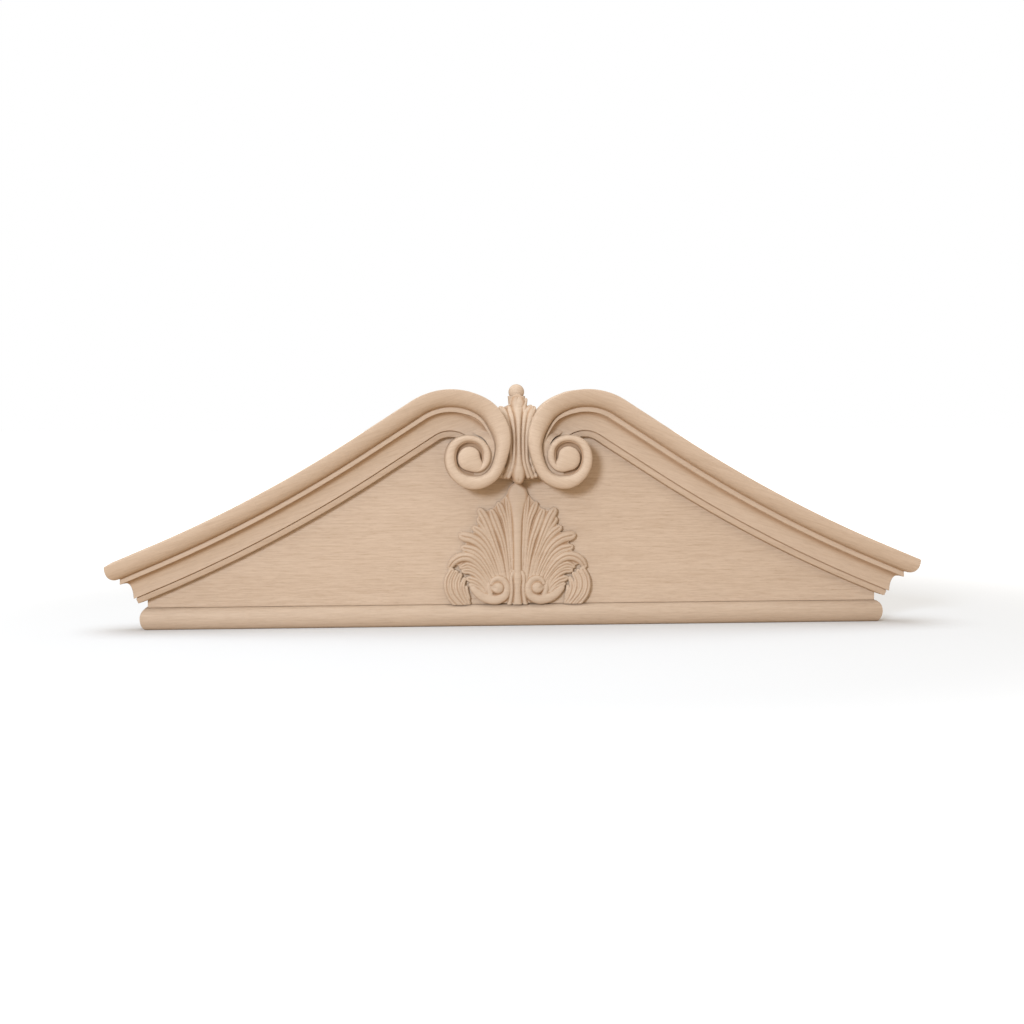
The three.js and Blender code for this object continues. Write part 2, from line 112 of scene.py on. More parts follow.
# Volute, laid out round the middle of its eye, every eighth of a turn from straight above it.
# The band stops short of the last listed place
EYE_INSET = 28.0
EYE_DROP = 101.3
SPIRAL_FROM = 90.0
EIGHTH = 45.0
SPIRAL_STOP = 1.6
SPIRAL_STEPS = 320
SPIRAL_RADII = [97.5, 75.4, 54.2, 49, 44.7, 38.8, 36.4, 36.5, 34.4, 33, 30.5, 25.6, 19]
SPIRAL_BAND = [26.5, 27.6, 20.4, 19.6, 21.4, 17.2, 15.8, 13.2, 10.6, 11, 12.8, 9.5, 6]
SPIRAL_RIDGE = [55, 55, 54, 52.5, 51, 49.5, 48, 47, 46.5, 46.5, 46.5, 46.3, 45]
SPIRAL_INNER = [36.4, 36.2, 36.2, 37.2, 39.6, 42, 43, 43, 42, 41, 41, 41, 40]
BAND_OUTER_DROP = 6.0
BAND_FLATNESS = 1.15

# Quirk beside the round member: its painted shade on the rake, beside the band, and where the band's
# inner edge has risen past the coil's foot, and the share of its depth that the band loses
ROUND_QUIRK_SHADE = 0.75
BAND_QUIRK_SHADE = 0.25
COIL_QUIRK_SHADE = 0.95
COIL_FROM = 38.0
BAND_SHALLOWING = 0.9

# Fillet, throat and groove round the volute, the groove from so many eighths of a turn on
GROOVE_FROM = 3.2
# Painted shade on the groove's floor and on the throat
GROOVE_SHADE = 0.9
THROAT_SHADE = 0.1
FILLET_END = 222.0
FILLET_TIP = 1.8
FILLET_RISE = 38.4
GROOVE_FLOOR = 36.0
THROAT_FROM = 106.0
THROAT_TO = 262.0
THROAT_CLIMB = 58.0
THROAT_OVERLAP = 5.0
THROAT_LOW = 11.0
THROAT_HIGH = 38.2
EYE_RADII = [25.2, 18.8, 18.6, 18.2, 18.3, 18.0, 16.8, 15.4, 25.2]

# Eye's dome: share of its radius, how far it stands out, and how much painted shade darkens it
EYE_PROFILE = [
    (1.03, 30, 0.8), (1.03, 36, 0.8), (1.0, 42, 0.6), (0.985, 43.5, 0.3), (0.95, 44.52, 0.1),
    (0.88, 45.6, 0), (0.75, 46.68, 0), (0.55, 47.46, 0), (0.3, 47.88, 0), (0.05, 48, 0),
]

# Top of the board between the volutes, measured down from the crest
VALLEY_DROP = 47.0
VALLEY_WIDTH = 32.0
SHOULDER_DROP = 17.0
SHOULDER_INSET = 45.0

# Rail nosing
NOSING_WIDEST = 17.0
NOSING_UNDERCUT = 8.5
SEAM = 1.8

# Carving: a strand's blunt tip runs on past its last place by a share of that place's half
# width, and the shoulder is the share of the ridge that its edges start from. Its painted shade
# starts at a share of the half width, and its vein fades in on strands over a least half width
TIP_REACH = 0.75
TIP_WIDTH = 0.45
TIP_RISE = 0.75
SHELL_CELL = 0.8
SHELL_HEIGHT = 181.0
SHELL_SHOULDER = 0.7
SHELL_SHADE = 0.66
SHELL_PLATE = 6.0
# Painted shade fades in over this distance inside a relief's outline, so its outer walls stay unshaded
UNSHADED_EDGE = 1.6
VEIN_DEPTH = 1.7
VEIN_WIDTH = 0.95
VEIN_SHADE = 0.8
VEIN_FROM = 2.6
VEIN_FADE = 2.0
LEAST_HEIGHT = 1.5
LEAST_STEEPNESS = 0.05
DRAWN_MOST = 0.6
FINIAL_CELL = 0.5
FINIAL_HEIGHT = 145.0
FINIAL_SHOULDER = 0.84
FINIAL_SHADE = 0.4
FINIAL_PLATE = 14.0
NECK_SETBACK = 5.0

# Studio: tint of the surroundings' light, the paper's tone for bounced light and for the camera,
# the distances in metres between which it fades to white, and how far the floor reaches
FILL_TINT = (1.2, 0.96, 0.74)
PAPER_BOUNCE = (0.54, 0.43, 0.31)
PAPER_SEEN = (0.72, 0.8, 0.885)
PAPER_FADE = (0.7, 2.2)
FLOOR_REACH = 30.0


def mm(metres):
    return metres / MM


def sizes():
    return bpy.context.scene.pediment_sizes


def look():
    return bpy.context.scene.pediment_look


def studio():
    return bpy.context.scene.pediment_studio


def placed(across, up, out):
    """Points in the frame from the distance right of the middle, up from the underside of the
    rail and out from the face of the board, all in millimetres."""
    across, up, out = np.broadcast_arrays(across, up, out)
    return np.stack([across * MM, BOARD_FACE - out * MM, UNDERSIDE + up * MM], axis=-1)


def mix(a, b, share):
    return a + (b - a) * share


def ease(value):
    """Smooth step: three times the square less twice the cube, from 0 to 1."""
    value = np.clip(value, 0, 1)
    return value * value * (3 - 2 * value)


def late(value, start):
    """Smooth step over what is left of the way from a start to 1."""
    return ease((value - start) / (1 - start))


def through(values, place):
    """Smooth value between listed ones: at each place, the cubic whose slopes at two neighbours
    are half the rise between the values on either side of each."""
    values = np.asarray(values, float)
    place = np.asarray(place, float)
    last = len(values) - 1
    k = np.clip(np.floor(place), 0, last - 1).astype(int)
    t = np.clip(place - k, 0, 1)
    if values.ndim > 1:
        t = t[..., None]

    def at(index):
        return values[np.clip(index, 0, last)]

    rise = at(k + 1) - at(k)
    into = (at(k + 1) - at(k - 1)) / 2
    out = (at(k + 2) - at(k)) / 2
    return at(k) + t * (into + t * (3 * rise - 2 * into - out + t * (into + out - 2 * rise)))


def sweep(rings, crease_shades=0.0):
    """Closed skin through rings of points, shaped (station, corner, 3): a four-sided face joins
    each two corners to the same two on the next ring, and the end rings close the ends. With
    the points and the faces comes how much painted shade darkens each point's colour."""
    stations, corners = rings.shape[:2]
    first = np.arange(stations - 1)[:, None] * corners
    side = np.arange(corners)[None, :]
    following = (side + 1) % corners
    faces = np.stack(
        [first + side, first + following, first + corners + following, first + corners + side], axis=-1
    )
    caps = [list(range(corners))[::-1], list(range((stations - 1) * corners, stations * corners))]
    crease_shades = np.broadcast_to(crease_shades, (stations, corners)).reshape(-1)
    return rings.reshape(-1, 3), faces.reshape(-1, 4).tolist() + caps, crease_shades


def turned(profile, centre, steps):
    """Skin of a profile turned round an upright line: its radius, times the cosine and sine of
    the angle, stands across and out from the centre at the profile's height."""
    angle = np.linspace(0, 2 * math.pi, steps, endpoint=False)
    radius, up, crease_shade = (column[:, None] for column in np.asarray(profile, float).T)
    across, out = centre
    return sweep(placed(across + radius * np.cos(angle), up, out + radius * np.sin(angle)), crease_shade)


def gathered(shells):
    """One skin from several closed skins."""
    faces = []
    start = 0
    for points, shell_faces, _ in shells:
        faces.extend([[start + k for k in face] for face in shell_faces])
        start += len(points)
    points = np.concatenate([shell[0] for shell in shells])
    return points, faces, np.concatenate([shell[2] for shell in shells])


def mirrored(shell):
    points, faces, crease_shades = shell
    return points * np.array([-1.0, 1.0, 1.0]), faces, crease_shades


def eased(section, corners, reach):
    """Section with each listed corner cut to three points: one before it, one after it, both
    within reach, and their mean drawn half way to the corner. Works on (..., corner, axis)."""
    pieces = []
    count = section.shape[-2]
    for k in range(count):
        point = section[..., k, :]
        if k not in corners:
            pieces.append(point)
            continue
        cuts = []
        for other in (section[..., k - 1, :], section[..., (k + 1) % count, :]):
            away = other - point
            length = np.linalg.norm(away, axis=-1, keepdims=True) + 1e-9
            cuts.append(point + away * np.minimum(reach / length, 0.4))
        pieces.extend([cuts[0], (cuts[0] + cuts[1] + 2 * point) / 4, cuts[1]])
    return np.stack(pieces, axis=-2)


def make_piece(name, shell, material, node, sharp):
    """Mesh object from points and faces, facing out, smooth but for edges over an angle."""
    points, faces, crease_shades = shell
    mesh = bpy.data.meshes.new(name)
    mesh.from_pydata(points.tolist(), [], faces)
    # Painted shade: each point keeps how far its colour is darkened towards the shade tone
    depth = mesh.attributes.new("crease_shade", "FLOAT", "POINT")
    depth.data.foreach_set("value", crease_shades.astype(np.float32))
    work = bmesh.new()
    work.from_mesh(mesh)
    bmesh.ops.recalc_face_normals(work, faces=work.faces)
    work.to_mesh(mesh)
    work.free()
    mesh.shade_smooth()
    mesh.set_sharp_from_angle(angle=math.radians(sharp))
    mesh.materials.append(material)
    piece = bpy.data.objects.new(name, mesh)
    bpy.context.scene.collection.objects.link(piece)
    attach(piece, "root")
    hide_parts(node)
    return piece


# Path of the crown's top edge


class Rake:
    """Top edge of the right rake: a straight end, an arc hollowed upwards, a straight climb and
    the crest's circle. Both straights touch the arcs, and the climb also touches the crest."""

    def __init__(self):
        s = sizes()
        self.half = mm(s.board_length) / 2
        self.tip = np.array([self.half + mm(s.crown_projection), TIP_HEIGHT])
        self.radius = mm(s.crest_radius)
        self.crest = mm(s.crest_height)
        inset = mm(s.crest_inset)
        self.centre = np.array([inset, self.crest - self.radius])
        self.eye = np.array([inset - EYE_INSET, self.crest - EYE_DROP])
        span = self.centre - self.tip
        length = np.hypot(*span)
        straight = math.atan2(span[1], -span[0]) + math.asin(self.radius / length)
        self.tip_slope = straight - TIP_HOLLOW
        self.crest_slope = straight + CREST_HOLLOW
        turn = self.crest_slope - self.tip_slope
        reach = math.sqrt(length**2 - self.radius**2)
        to_corner = reach * math.sin(CREST_HOLLOW) / math.sin(turn)
        self.bend = (to_corner - STRAIGHT_END) / math.tan(turn / 2)
        self.climb = np.array([-math.cos(self.tip_slope), math.sin(self.tip_slope)])

    def across(self, slope):
        return np.stack([-np.sin(slope), -np.cos(slope)], axis=-1)

    def stations(self, bend_count, crest_count):
        """Points and directions across, from the start of the bend to above the eye."""
        start = self.tip + self.climb * STRAIGHT_END
        bend_centre = start - self.across(self.tip_slope) * self.bend
        bend = np.linspace(self.tip_slope, self.crest_slope, bend_count)
        crest = np.linspace(self.crest_slope, -math.asin(EYE_INSET / self.radius), crest_count)
        points = np.concatenate(
            [bend_centre + self.across(bend) * self.bend, self.centre - self.across(crest) * self.radius]
        )
        return points, self.across(np.concatenate([bend, crest]))

    def spiral(self, angle):
        """Point of the volute's outer edge: its distance from the eye goes smoothly from the
        crest's circle to the listed radii within the first eighth of a turn."""
        angle = np.asarray(angle, float)
        turn = np.radians(angle)
        ray = np.stack([np.cos(turn), np.sin(turn)], axis=-1)
        offset = self.eye - self.centre
        along = ray @ offset
        on_crest = np.sqrt(np.maximum(along**2 - offset @ offset + self.radius**2, 0)) - along
        place = (angle - SPIRAL_FROM) / EIGHTH
        radius = mix(on_crest, through(SPIRAL_RADII, place), ease(place))
        return self.eye + ray * radius[..., None]

    def spiral_stations(self, angle):
        along = self.spiral(angle + 0.5) - self.spiral(angle - 0.5)
        along /= np.linalg.norm(along, axis=-1, keepdims=True)
        return self.spiral(angle), np.stack([-along[:, 1], along[:, 0]], axis=-1)

    def rings(self, points, across, section):
        """Each corner of a section stands across from its station and out from the board."""
        at = points[:, None, :] + across[:, None, :] * section[..., 0:1]
        return placed(at[..., 0], at[..., 1], section[..., 1])

    def carried(self, plain, points, across, angle=None, wound=None):
        """Skin of a section carried from the mitre over the given stations, then, with its own
        section at each, over the spiral's angles."""
        rings = [self.mitre_ring(plain[0], JOINT_GAP), self.rings(points, across, plain)]
        crease_shades = [plain[..., 2], np.repeat(plain[..., 2], len(points), axis=0)]
        if angle is not None:
            rings.append(self.rings(*self.spiral_stations(angle), wound))
            crease_shades.append(wound[..., 2])
        return sweep(np.concatenate(rings), np.concatenate(crease_shades))

    def mitre_ring(self, section, gap):
        """Each corner is as far past the board's end as it stands out from its face."""
        foot = self.across(self.tip_slope)
        past = self.tip[0] + foot[0] * section[:, 0] - self.half - section[:, 1] + gap
        run = past / -self.climb[0]
        at = self.tip + self.climb * run[:, None] + foot * section[:, 0:1]
        return placed(at[:, 0], at[:, 1], section[:, 1])[None]


# Sections of the crown


def round_member(width, ridge, inner, rounding, count=24):
    """Section of the crown's round member, as (station, corner, 3), the third value being how
    much painted shade darkens the corner. On the rake it is a quarter of an ellipse from the top edge
    to the quirk by the fillet, and round the volute half of one from the band's outer edge over
    its ridge to its inner edge; in between it is a mix of the two."""
    projection = mm(sizes().crown_projection)
    width, ridge, inner, rounding = (
        np.atleast_1d(v).astype(float)[:, None] for v in (width, ridge, inner, rounding)
    )
    t = np.linspace(0, 1, count)[None, :]
    quarter = t * math.pi / 2
    half = t * math.pi
    outer = ridge - BAND_OUTER_DROP
    round_width = width - QUIRK
    edge = mix(outer, inner, ease(t))
    rake = [round_width * np.sin(quarter), mix(OVOLO_FOOT, projection, np.cos(quarter))]
    flat_sine = 1 - (1 - np.sin(half)) ** BAND_FLATNESS
    band = [round_width * (1 - np.cos(half)) / 2, mix(edge, ridge, flat_sine)]
    # Painted shade on the round member's lower part, towards the quirk
    crease_shade = mix(*[deepest * late(t, start) for deepest, start in (RAKE_SHADE, BAND_SHADE)], rounding)
    curve = np.stack([*[mix(rake[k], band[k], rounding) for k in (0, 1)], crease_shade], axis=-1)
    none = 0 * width
    start = np.stack([none, none + JOINT_GAP, none], axis=-1)
    quirk_out = mix(np.full_like(width, OVOLO_FOOT), inner, rounding)
    quirk_out -= QUIRK_DEPTH * (1 - BAND_SHALLOWING * rounding)
    # Painted shade in the quirk, stronger where the band's inner edge rises past the coil's foot
    deep = mix(mix(ROUND_QUIRK_SHADE, BAND_QUIRK_SHADE, rounding), COIL_QUIRK_SHADE, ease((inner - COIL_FROM) / 2))
    quirk = np.stack([width - 0.4 * QUIRK, quirk_out, deep], axis=-1)
    floor = np.stack([width + 0.2, quirk_out, deep], axis=-1)
    end = np.stack([width + 0.2, none + JOINT_GAP, deep], axis=-1)
    return eased(np.concatenate([start, curve, quirk, floor, end], axis=1), [1], ARRIS)


def fillet_member(from_edge, width, face):
    """Section of the fillet: a flat band beside the round member, painted dark at its two feet as shade."""
    from_edge, width, face = (np.atleast_1d(v).astype(float) for v in (from_edge, width, face))
    none = 0 * from_edge
    corners = [
        (from_edge, none + JOINT_GAP, none + 1),
        (from_edge, none + face, none),
        (from_edge + width, none + face, none),
        (from_edge + width, none + JOINT_GAP, none + 1),
    ]
    section = np.stack([np.stack(c, axis=-1) for c in corners], axis=1)
    return eased(section, [1, 2], 0.8 * ARRIS)


def lower_members(count=16):
    """Section of the cove, the quirk and the lower fillet. The cove is a quarter of an ellipse
    hollowed into the corner. Painted shade darkens the step under the fillet, the cove's top, the quirk and
    the foot."""
    s = sizes()
    cove_start = mm(s.ovolo_width) + mm(s.fillet_width) + 1
    cove_width = mm(s.cove_width) + COVE_SPREAD
    cove_end = cove_start + cove_width
    lower_start = cove_end + QUIRK_WIDTH
    lower_end = lower_start + mm(s.lower_fillet_width) - LOWER_FILLET_TRIM
    from_foot = 1 - np.linspace(0, 1, count)
    cove_out = COVE_TOP - (COVE_TOP - COVE_FOOT) * np.sqrt(1 - from_foot**2)
    shade = COVE_SHADE[0] * late(from_foot, COVE_SHADE[1])
    cove = np.stack([cove_end - cove_width * from_foot, cove_out, shade], axis=-1)
    section = np.concatenate([
        [[cove_start - UNDER_FILLET, JOINT_GAP, 1], [cove_start - UNDER_FILLET, COVE_TOP, 1]],
        cove,
        [
            *[[cove_end + place, QUIRK_FLOOR, QUIRK_FLOOR_SHADE] for place in QUIRK_FLOOR_SPAN],
            [lower_start, LOWER_FILLET_FACE, 0],
            [lower_end, LOWER_FILLET_FOOT, 0],
            [lower_end + FOOT_BEVEL, JOINT_GAP, 0.6],
        ],
    ])
    return eased(section, [count + 1, count + 4, count + 5, count + 6], ARRIS)[None]


def coil_ground(rake):
    """Floor of the coil's groove: a plate out to the middle of the band, over one turn, painted dark as
    shade.
    """
    start = SPIRAL_FROM + GROOVE_FROM * EIGHTH
    angle = np.linspace(start, start + 360, 120, endpoint=False)
    place = (angle - SPIRAL_FROM) / EIGHTH
    radius = np.linalg.norm(rake.spiral(angle) - rake.eye, axis=-1) - through(SPIRAL_BAND, place) / 2
    turn = np.radians(angle)
    rim = [radius * np.cos(turn), radius * np.sin(turn)]
    steps = ((1, JOINT_GAP), (1, GROOVE_FLOOR), (0.5, GROOVE_FLOOR))
    rings = [placed(rake.eye[0] + share * rim[0], rake.eye[1] + share * rim[1], out) for share, out in steps]
    return sweep(np.stack(rings), GROOVE_SHADE)


def throat(rake):
    """Filling between the band and the coil's next roll: it climbs from the cove as the two close
    in on each other. It takes a little painted shade."""
    angle = np.linspace(THROAT_FROM, THROAT_TO, 80)
    place = (angle - SPIRAL_FROM) / EIGHTH
    here = np.linalg.norm(rake.spiral(angle) - rake.eye, axis=-1)
    next_roll = through(SPIRAL_RADII, np.minimum(place + 8, len(SPIRAL_RADII) - 1))
    band = through(SPIRAL_BAND, place)
    width = np.maximum(here - band - next_roll, 0) + THROAT_OVERLAP
    face = mix(THROAT_LOW, THROAT_HIGH, ease((angle - THROAT_FROM) / THROAT_CLIMB))
    section = fillet_member(band - 1, width, face)
    return sweep(rake.rings(*rake.spiral_stations(angle), section), THROAT_SHADE)


def eye_boss(rake):
    """Eye of the volute: a low dome with a rounded edge. Its radius starts at the band below on
    the left and falls as it winds round, which leaves the groove between them."""
    angle = np.linspace(-135, 225, 121)[:-1]
    radius = through(EYE_RADII, (angle + 135) / EIGHTH)
    turn = np.radians(angle)
    rings = []
    for share, out, _ in EYE_PROFILE:
        reach = share * radius
        rings.append(placed(rake.eye[0] + reach * np.cos(turn), rake.eye[1] + reach * np.sin(turn), out))
    crease_shades = np.array(EYE_PROFILE)[:, 2:]
    return sweep(np.stack(rings), crease_shades)


def crown_shell():
    """Right crown: the round member carried along the rake, the crest and the spiral, the fillet
    beside it, and the lower members, which run on round the crest's centre under the coil."""
    rake = Rake()
    s = sizes()
    ovolo = mm(s.ovolo_width)
    points, across = rake.stations(BEND_STEPS, CREST_STEPS)
    spiral_end = SPIRAL_FROM + EIGHTH * (len(SPIRAL_RADII) - SPIRAL_STOP)
    angle = np.linspace(SPIRAL_FROM, spiral_end, SPIRAL_STEPS)[1:]
    place = (angle - SPIRAL_FROM) / EIGHTH
    plain = round_member(ovolo, mm(s.crown_projection), OVOLO_FOOT, 0)
    banded = round_member(through(SPIRAL_BAND, place), through(SPIRAL_RIDGE, place),
                          through(SPIRAL_INNER, place), ease(place / 2))
    crown = [rake.carried(plain, points, across, angle, banded)]

    angle = np.linspace(SPIRAL_FROM, FILLET_END, 90)[1:]
    place = (angle - SPIRAL_FROM) / EIGHTH
    flat = fillet_member(ovolo, mm(s.fillet_width), FILLET_FACE)
    share = 1 - (1 - (angle - SPIRAL_FROM) / (FILLET_END - SPIRAL_FROM)) ** 3
    thinning = fillet_member(through(SPIRAL_BAND, place), mix(mm(s.fillet_width), FILLET_TIP, share),
                             mix(FILLET_FACE, FILLET_RISE, share))
    crown.append(rake.carried(flat, points, across, angle, thinning))

    run_on = np.linspace(-math.asin(EYE_INSET / rake.radius), -math.radians(80), 50)[1:]
    points = np.concatenate([points, rake.centre - rake.across(run_on) * rake.radius])
    across = np.concatenate([across, rake.across(run_on)])
    crown.append(rake.carried(lower_members(), points, across))
    return gathered(crown + [throat(rake), coil_ground(rake), eye_boss(rake)])


def return_shell():
    """Right return: the crown's whole section carried straight from the mitre to the wall."""
    rake = Rake()
    s = sizes()
    upper = round_member(mm(s.ovolo_width), mm(s.crown_projection), OVOLO_FOOT, 0)[0]
    fillet = fillet_member(mm(s.ovolo_width), mm(s.fillet_width), FILLET_FACE)[0]
    lower = lower_members()[0]
    section = np.concatenate([upper[:-1], fillet[1:-1], lower[2:]])
    front = rake.mitre_ring(section, 0)
    front[..., 1] += JOINT_GAP * MM
    back = front.copy()
    back[..., 1] = board_high.y
    return sweep(np.concatenate([back, front]), section[None, :, 2])


def board_shell():
    """Board: at each place across, a ring from the rail up to the crown's top edge, front and
    back, with its arrises eased. The lowest strip of the front darkens towards the rail with painted shade
    from the joint."""
    rake = Rake()
    s = sizes()
    points, _ = rake.stations(BEND_STEPS, CREST_STEPS)
    end = rake.tip[1] + (rake.tip[0] - rake.half) * math.tan(rake.tip_slope)
    over = np.concatenate([
        [[rake.half, end]],
        points,
        [[SHOULDER_INSET, rake.crest - SHOULDER_DROP], [VALLEY_WIDTH / 2, rake.crest - VALLEY_DROP]],
    ])
    order = np.argsort(over[:, 0])
    across = np.linspace(-rake.half, rake.half, BOARD_STATIONS)
    top = np.interp(np.abs(across), over[order, 0], over[order, 1])
    bottom = np.full_like(top, mm(s.rail_height) + JOINT_GAP)
    thick = mm(s.board_thickness)
    front = 0 * top
    seam = bottom + SEAM
    back = front - thick
    corners = [(seam, back), (bottom, back), (bottom, front), (seam, front), (top, front), (top, back)]
    rings = np.stack([placed(across, up, out) for up, out in corners], axis=1)
    rings = eased(rings, [1, 2, 4, 5], ARRIS * MM)
    over_rail = (rings[..., 2] - rings[..., 2].min()) / (SEAM * MM)
    return sweep(rings, SEAM_SHADE * (1 - ease(over_rail)))


def rail_shell():
    """Rail: rings at rising heights round three sides, standing out by the nosing, which is an
    arc of an ellipse below its widest height and another above it."""
    s = sizes()
    nosing = mm(s.rail_nosing)
    height = mm(s.rail_height)
    low = np.linspace(0, math.pi / 2, 16)
    high = np.linspace(0, math.pi / 2, 22)[1:]
    out = np.concatenate([mix(nosing - NOSING_UNDERCUT, nosing, np.sin(low)), nosing * np.cos(high)])
    up = np.concatenate([NOSING_WIDEST * (1 - np.cos(low)), mix(NOSING_WIDEST, height, np.sin(high))])
    half = mm(s.board_length) / 2
    thick = mm(s.board_thickness)
    rings = np.stack([
        placed(half + out, up, -thick),
        placed(half + out, up, out),
        placed(-half - out, up, out),
        placed(-half - out, up, -thick),
    ], axis=1)
    return sweep(eased(rings, [1, 2], 3 * ARRIS * MM))


# Carving: heights over a grid


def stroke_field(grid, cell, stroke, shoulder, crease_shade_from, vein=0.0):
    """A carved strand along a smooth line, over points of a grid. From the nearest place on the
    line come its half width and ridge. The distance over the half width gives the rounded
    section: the root of one less its square, over the shoulder that both edges start from, less
    the vein cut along the middle. Returns the height, the distance inside and how much painted
    shade darkens each point towards its edges and in the vein."""
    listed = np.asarray(stroke, float)
    before, end = listed[-2], listed[-1]
    away = end[:2] - before[:2]
    away *= TIP_REACH * end[2] / np.hypot(*away)
    tip = [end[0] + away[0], end[1] + away[1], TIP_WIDTH * end[2], TIP_RISE * end[3]]
    listed = np.vstack([listed, tip])
    line = through(listed, np.linspace(0, len(listed) - 1, 10 * (len(listed) - 1) + 1))
    reach = line[:, 2].max() + 2 * cell
    low = line[:, :2].min(axis=0) - reach
    high = line[:, :2].max(axis=0) + reach
    near = np.all((grid > low) & (grid < high), axis=-1)
    spot = grid[near]
    start = line[:-1]
    along = line[1:, :2] - start[:, :2]
    share = ((spot[:, None, :] - start[None, :, :2]) * along).sum(-1) / (along**2).sum(-1)
    share = np.clip(share, 0, 1)
    foot = start[None, :, :2] + share[..., None] * along
    apart = np.linalg.norm(spot[:, None, :] - foot, axis=-1)
    half = start[:, 2] + share * (line[1:, 2] - start[:, 2])
    ridge = start[:, 3] + share * (line[1:, 3] - start[:, 3])
    pick = (apart - half).argmin(axis=1)
    rows = np.arange(len(pick))
    inside = (half - apart)[rows, pick]
    part = np.clip(apart[rows, pick] / half[rows, pick], 0, 1)
    rounded = np.sqrt(1 - part**2)
    field = np.empty((*near.shape, 3))
    field[...] = (-1.0, -99.0, 0.0)
    middle = np.exp(-(apart[rows, pick] / VEIN_WIDTH) ** 2) * ease((half[rows, pick] - VEIN_FROM) / VEIN_FADE)
    ridged = ridge[rows, pick] * mix(shoulder, 1, rounded) - vein * middle
    height = np.where(inside > -cell, ridged, -1.0)
    crease_shade = np.maximum(late(part, crease_shade_from), VEIN_SHADE * middle * (vein > 0))
    field[near] = np.stack([height, inside, crease_shade], axis=-1)
    return field


def plate_field(grid, cell, outline, height):
    """A flat plate within a closed outline. The distance inside is the least distance to its
    sides, and negative where a level line from the point crosses an even number of sides."""
    start = np.asarray(outline, float)
    end = np.roll(start, -1, axis=0)
    along = end - start
    flat = grid.reshape(-1, 2)
    share = ((flat[:, None, :] - start) * along).sum(-1) / (along**2).sum(-1)
    foot = start + np.clip(share, 0, 1)[..., None] * along
    apart = np.linalg.norm(flat[:, None, :] - foot, axis=-1).min(axis=1)
    x, z = flat[:, 0:1], flat[:, 1:2]
    spans = (start[:, 1] > z) != (end[:, 1] > z)
    cross = start[:, 0] + (z - start[:, 1]) * along[:, 0] / np.where(along[:, 1] == 0, 1e-9, along[:, 1])
    within = (spans & (x < cross)).sum(axis=1) % 2 == 1
    inside = np.where(within, apart, -apart)
    # The plate takes a light painted shade
    field = np.stack([np.where(inside > -cell, height, -1.0), inside, 0 * inside + 0.4], axis=-1)
    return field.reshape(*grid.shape[:-1], 3)


def softened(height, times):
    """Heights averaged with their four neighbours, counting only the carved ones."""
    weight = (height > 0).astype(float)
    held = height * weight
    for _ in range(times):
        total = held * weight * 4
        share = weight * 4
        for axis in (0, 1):
            for step in (1, -1):
                total += np.roll(held * weight, step, axis)
                share += np.roll(weight, step, axis)
        held = np.where(share > 0, total / np.maximum(share, 1e-6), 0)
        weight = (share > 0).astype(float)
    return held


def cells_of(kept):
    """Faces over a grid: cells with four corners kept, and triangles over those with three. With
    them comes the free rim, each edge in its face's direction."""
    number = np.arange(kept.size).reshape(kept.shape)
    corners = [number[:-1, :-1], number[1:, :-1], number[1:, 1:], number[:-1, 1:]]
    corners = np.stack(corners, axis=-1).reshape(-1, 4)
    have = kept.reshape(-1)[corners]
    quads = corners[have.all(axis=1)]
    three = have.sum(axis=1) == 3
    triples = corners[three][have[three]].reshape(-1, 3)
    edges = np.concatenate([
        *[quads[:, [k, (k + 1) % 4]] for k in range(4)],
        *[triples[:, [k, (k + 1) % 3]] for k in range(3)],
    ])
    key = edges.min(axis=1).astype(np.int64) * kept.size + edges.max(axis=1)
    _, first, times = np.unique(key, return_index=True, return_counts=True)
    return quads.tolist() + triples.tolist(), edges[first[times == 1]]


def relief(low, high, cell, fields, softening):
    """Skin of a relief on a plane: at each point of a grid the highest of the fields. Points near
    the outline, where the distance inside is under half a cell, are drawn onto it along that
    distance's slope. The kept cells are walled round their free edges and closed behind."""
    across = np.arange(low[0], high[0] + cell, cell)
    up = np.arange(low[1], high[1] + cell, cell)
    grid = np.stack(np.meshgrid(across, up, indexing="ij"), axis=-1)
    layers = np.stack([field(grid) for field in fields])
    highest = layers[..., 0].argmax(axis=0)[None, ..., None]
    top = np.take_along_axis(layers, highest, axis=0)[0]
    inside = layers[..., 1].max(axis=0)
    # Painted shade of the highest field, faded out near the outline
    crease_shade = (top[..., 2] * ease(inside / UNSHADED_EDGE)).reshape(-1)
    held = softened(top[..., 0], softening)
    slope = np.stack(np.gradient(inside, cell), axis=-1)
    steep = (slope**2).sum(-1)
    near = (np.abs(inside) < 0.5 * cell) & (steep > LEAST_STEEPNESS)
    shift = np.where(near, -inside / np.maximum(steep, LEAST_STEEPNESS), 0)
    grid = grid + np.clip(shift, -DRAWN_MOST * cell, DRAWN_MOST * cell)[..., None] * slope
    kept = (inside > 0) | near

    faces, rim = cells_of(kept)
    behind = kept.size
    walls = np.stack([rim[:, 1], rim[:, 0], rim[:, 0] + behind, rim[:, 1] + behind], axis=1)
    backs = [[k + behind for k in face[::-1]] for face in faces]
    everything = faces + backs + walls.tolist()
    used = np.unique(np.concatenate([np.asarray(face) for face in faces]))
    used = np.concatenate([used, used + behind])
    renumber = np.full(2 * behind, -1)
    renumber[used] = np.arange(len(used))
    front = placed(grid[..., 0], grid[..., 1], np.maximum(held, LEAST_HEIGHT)).reshape(-1, 3)
    back = placed(grid[..., 0], grid[..., 1], JOINT_GAP).reshape(-1, 3)
    points = np.concatenate([front, back])[used]
    crease_shades = np.concatenate([crease_shade, crease_shade])[used]
    return points, [renumber[face].tolist() for face in everything], crease_shades


def both_sides(stroke):
    """A strand and its twin on the other side of the middle."""
    twin = [(-across, up, half, ridge) for across, up, half, ridge in stroke]
    return [stroke, twin]


def mirrored_outline(right):
    return right + [(-x, z) for x, z in right[1:-1]][::-1]


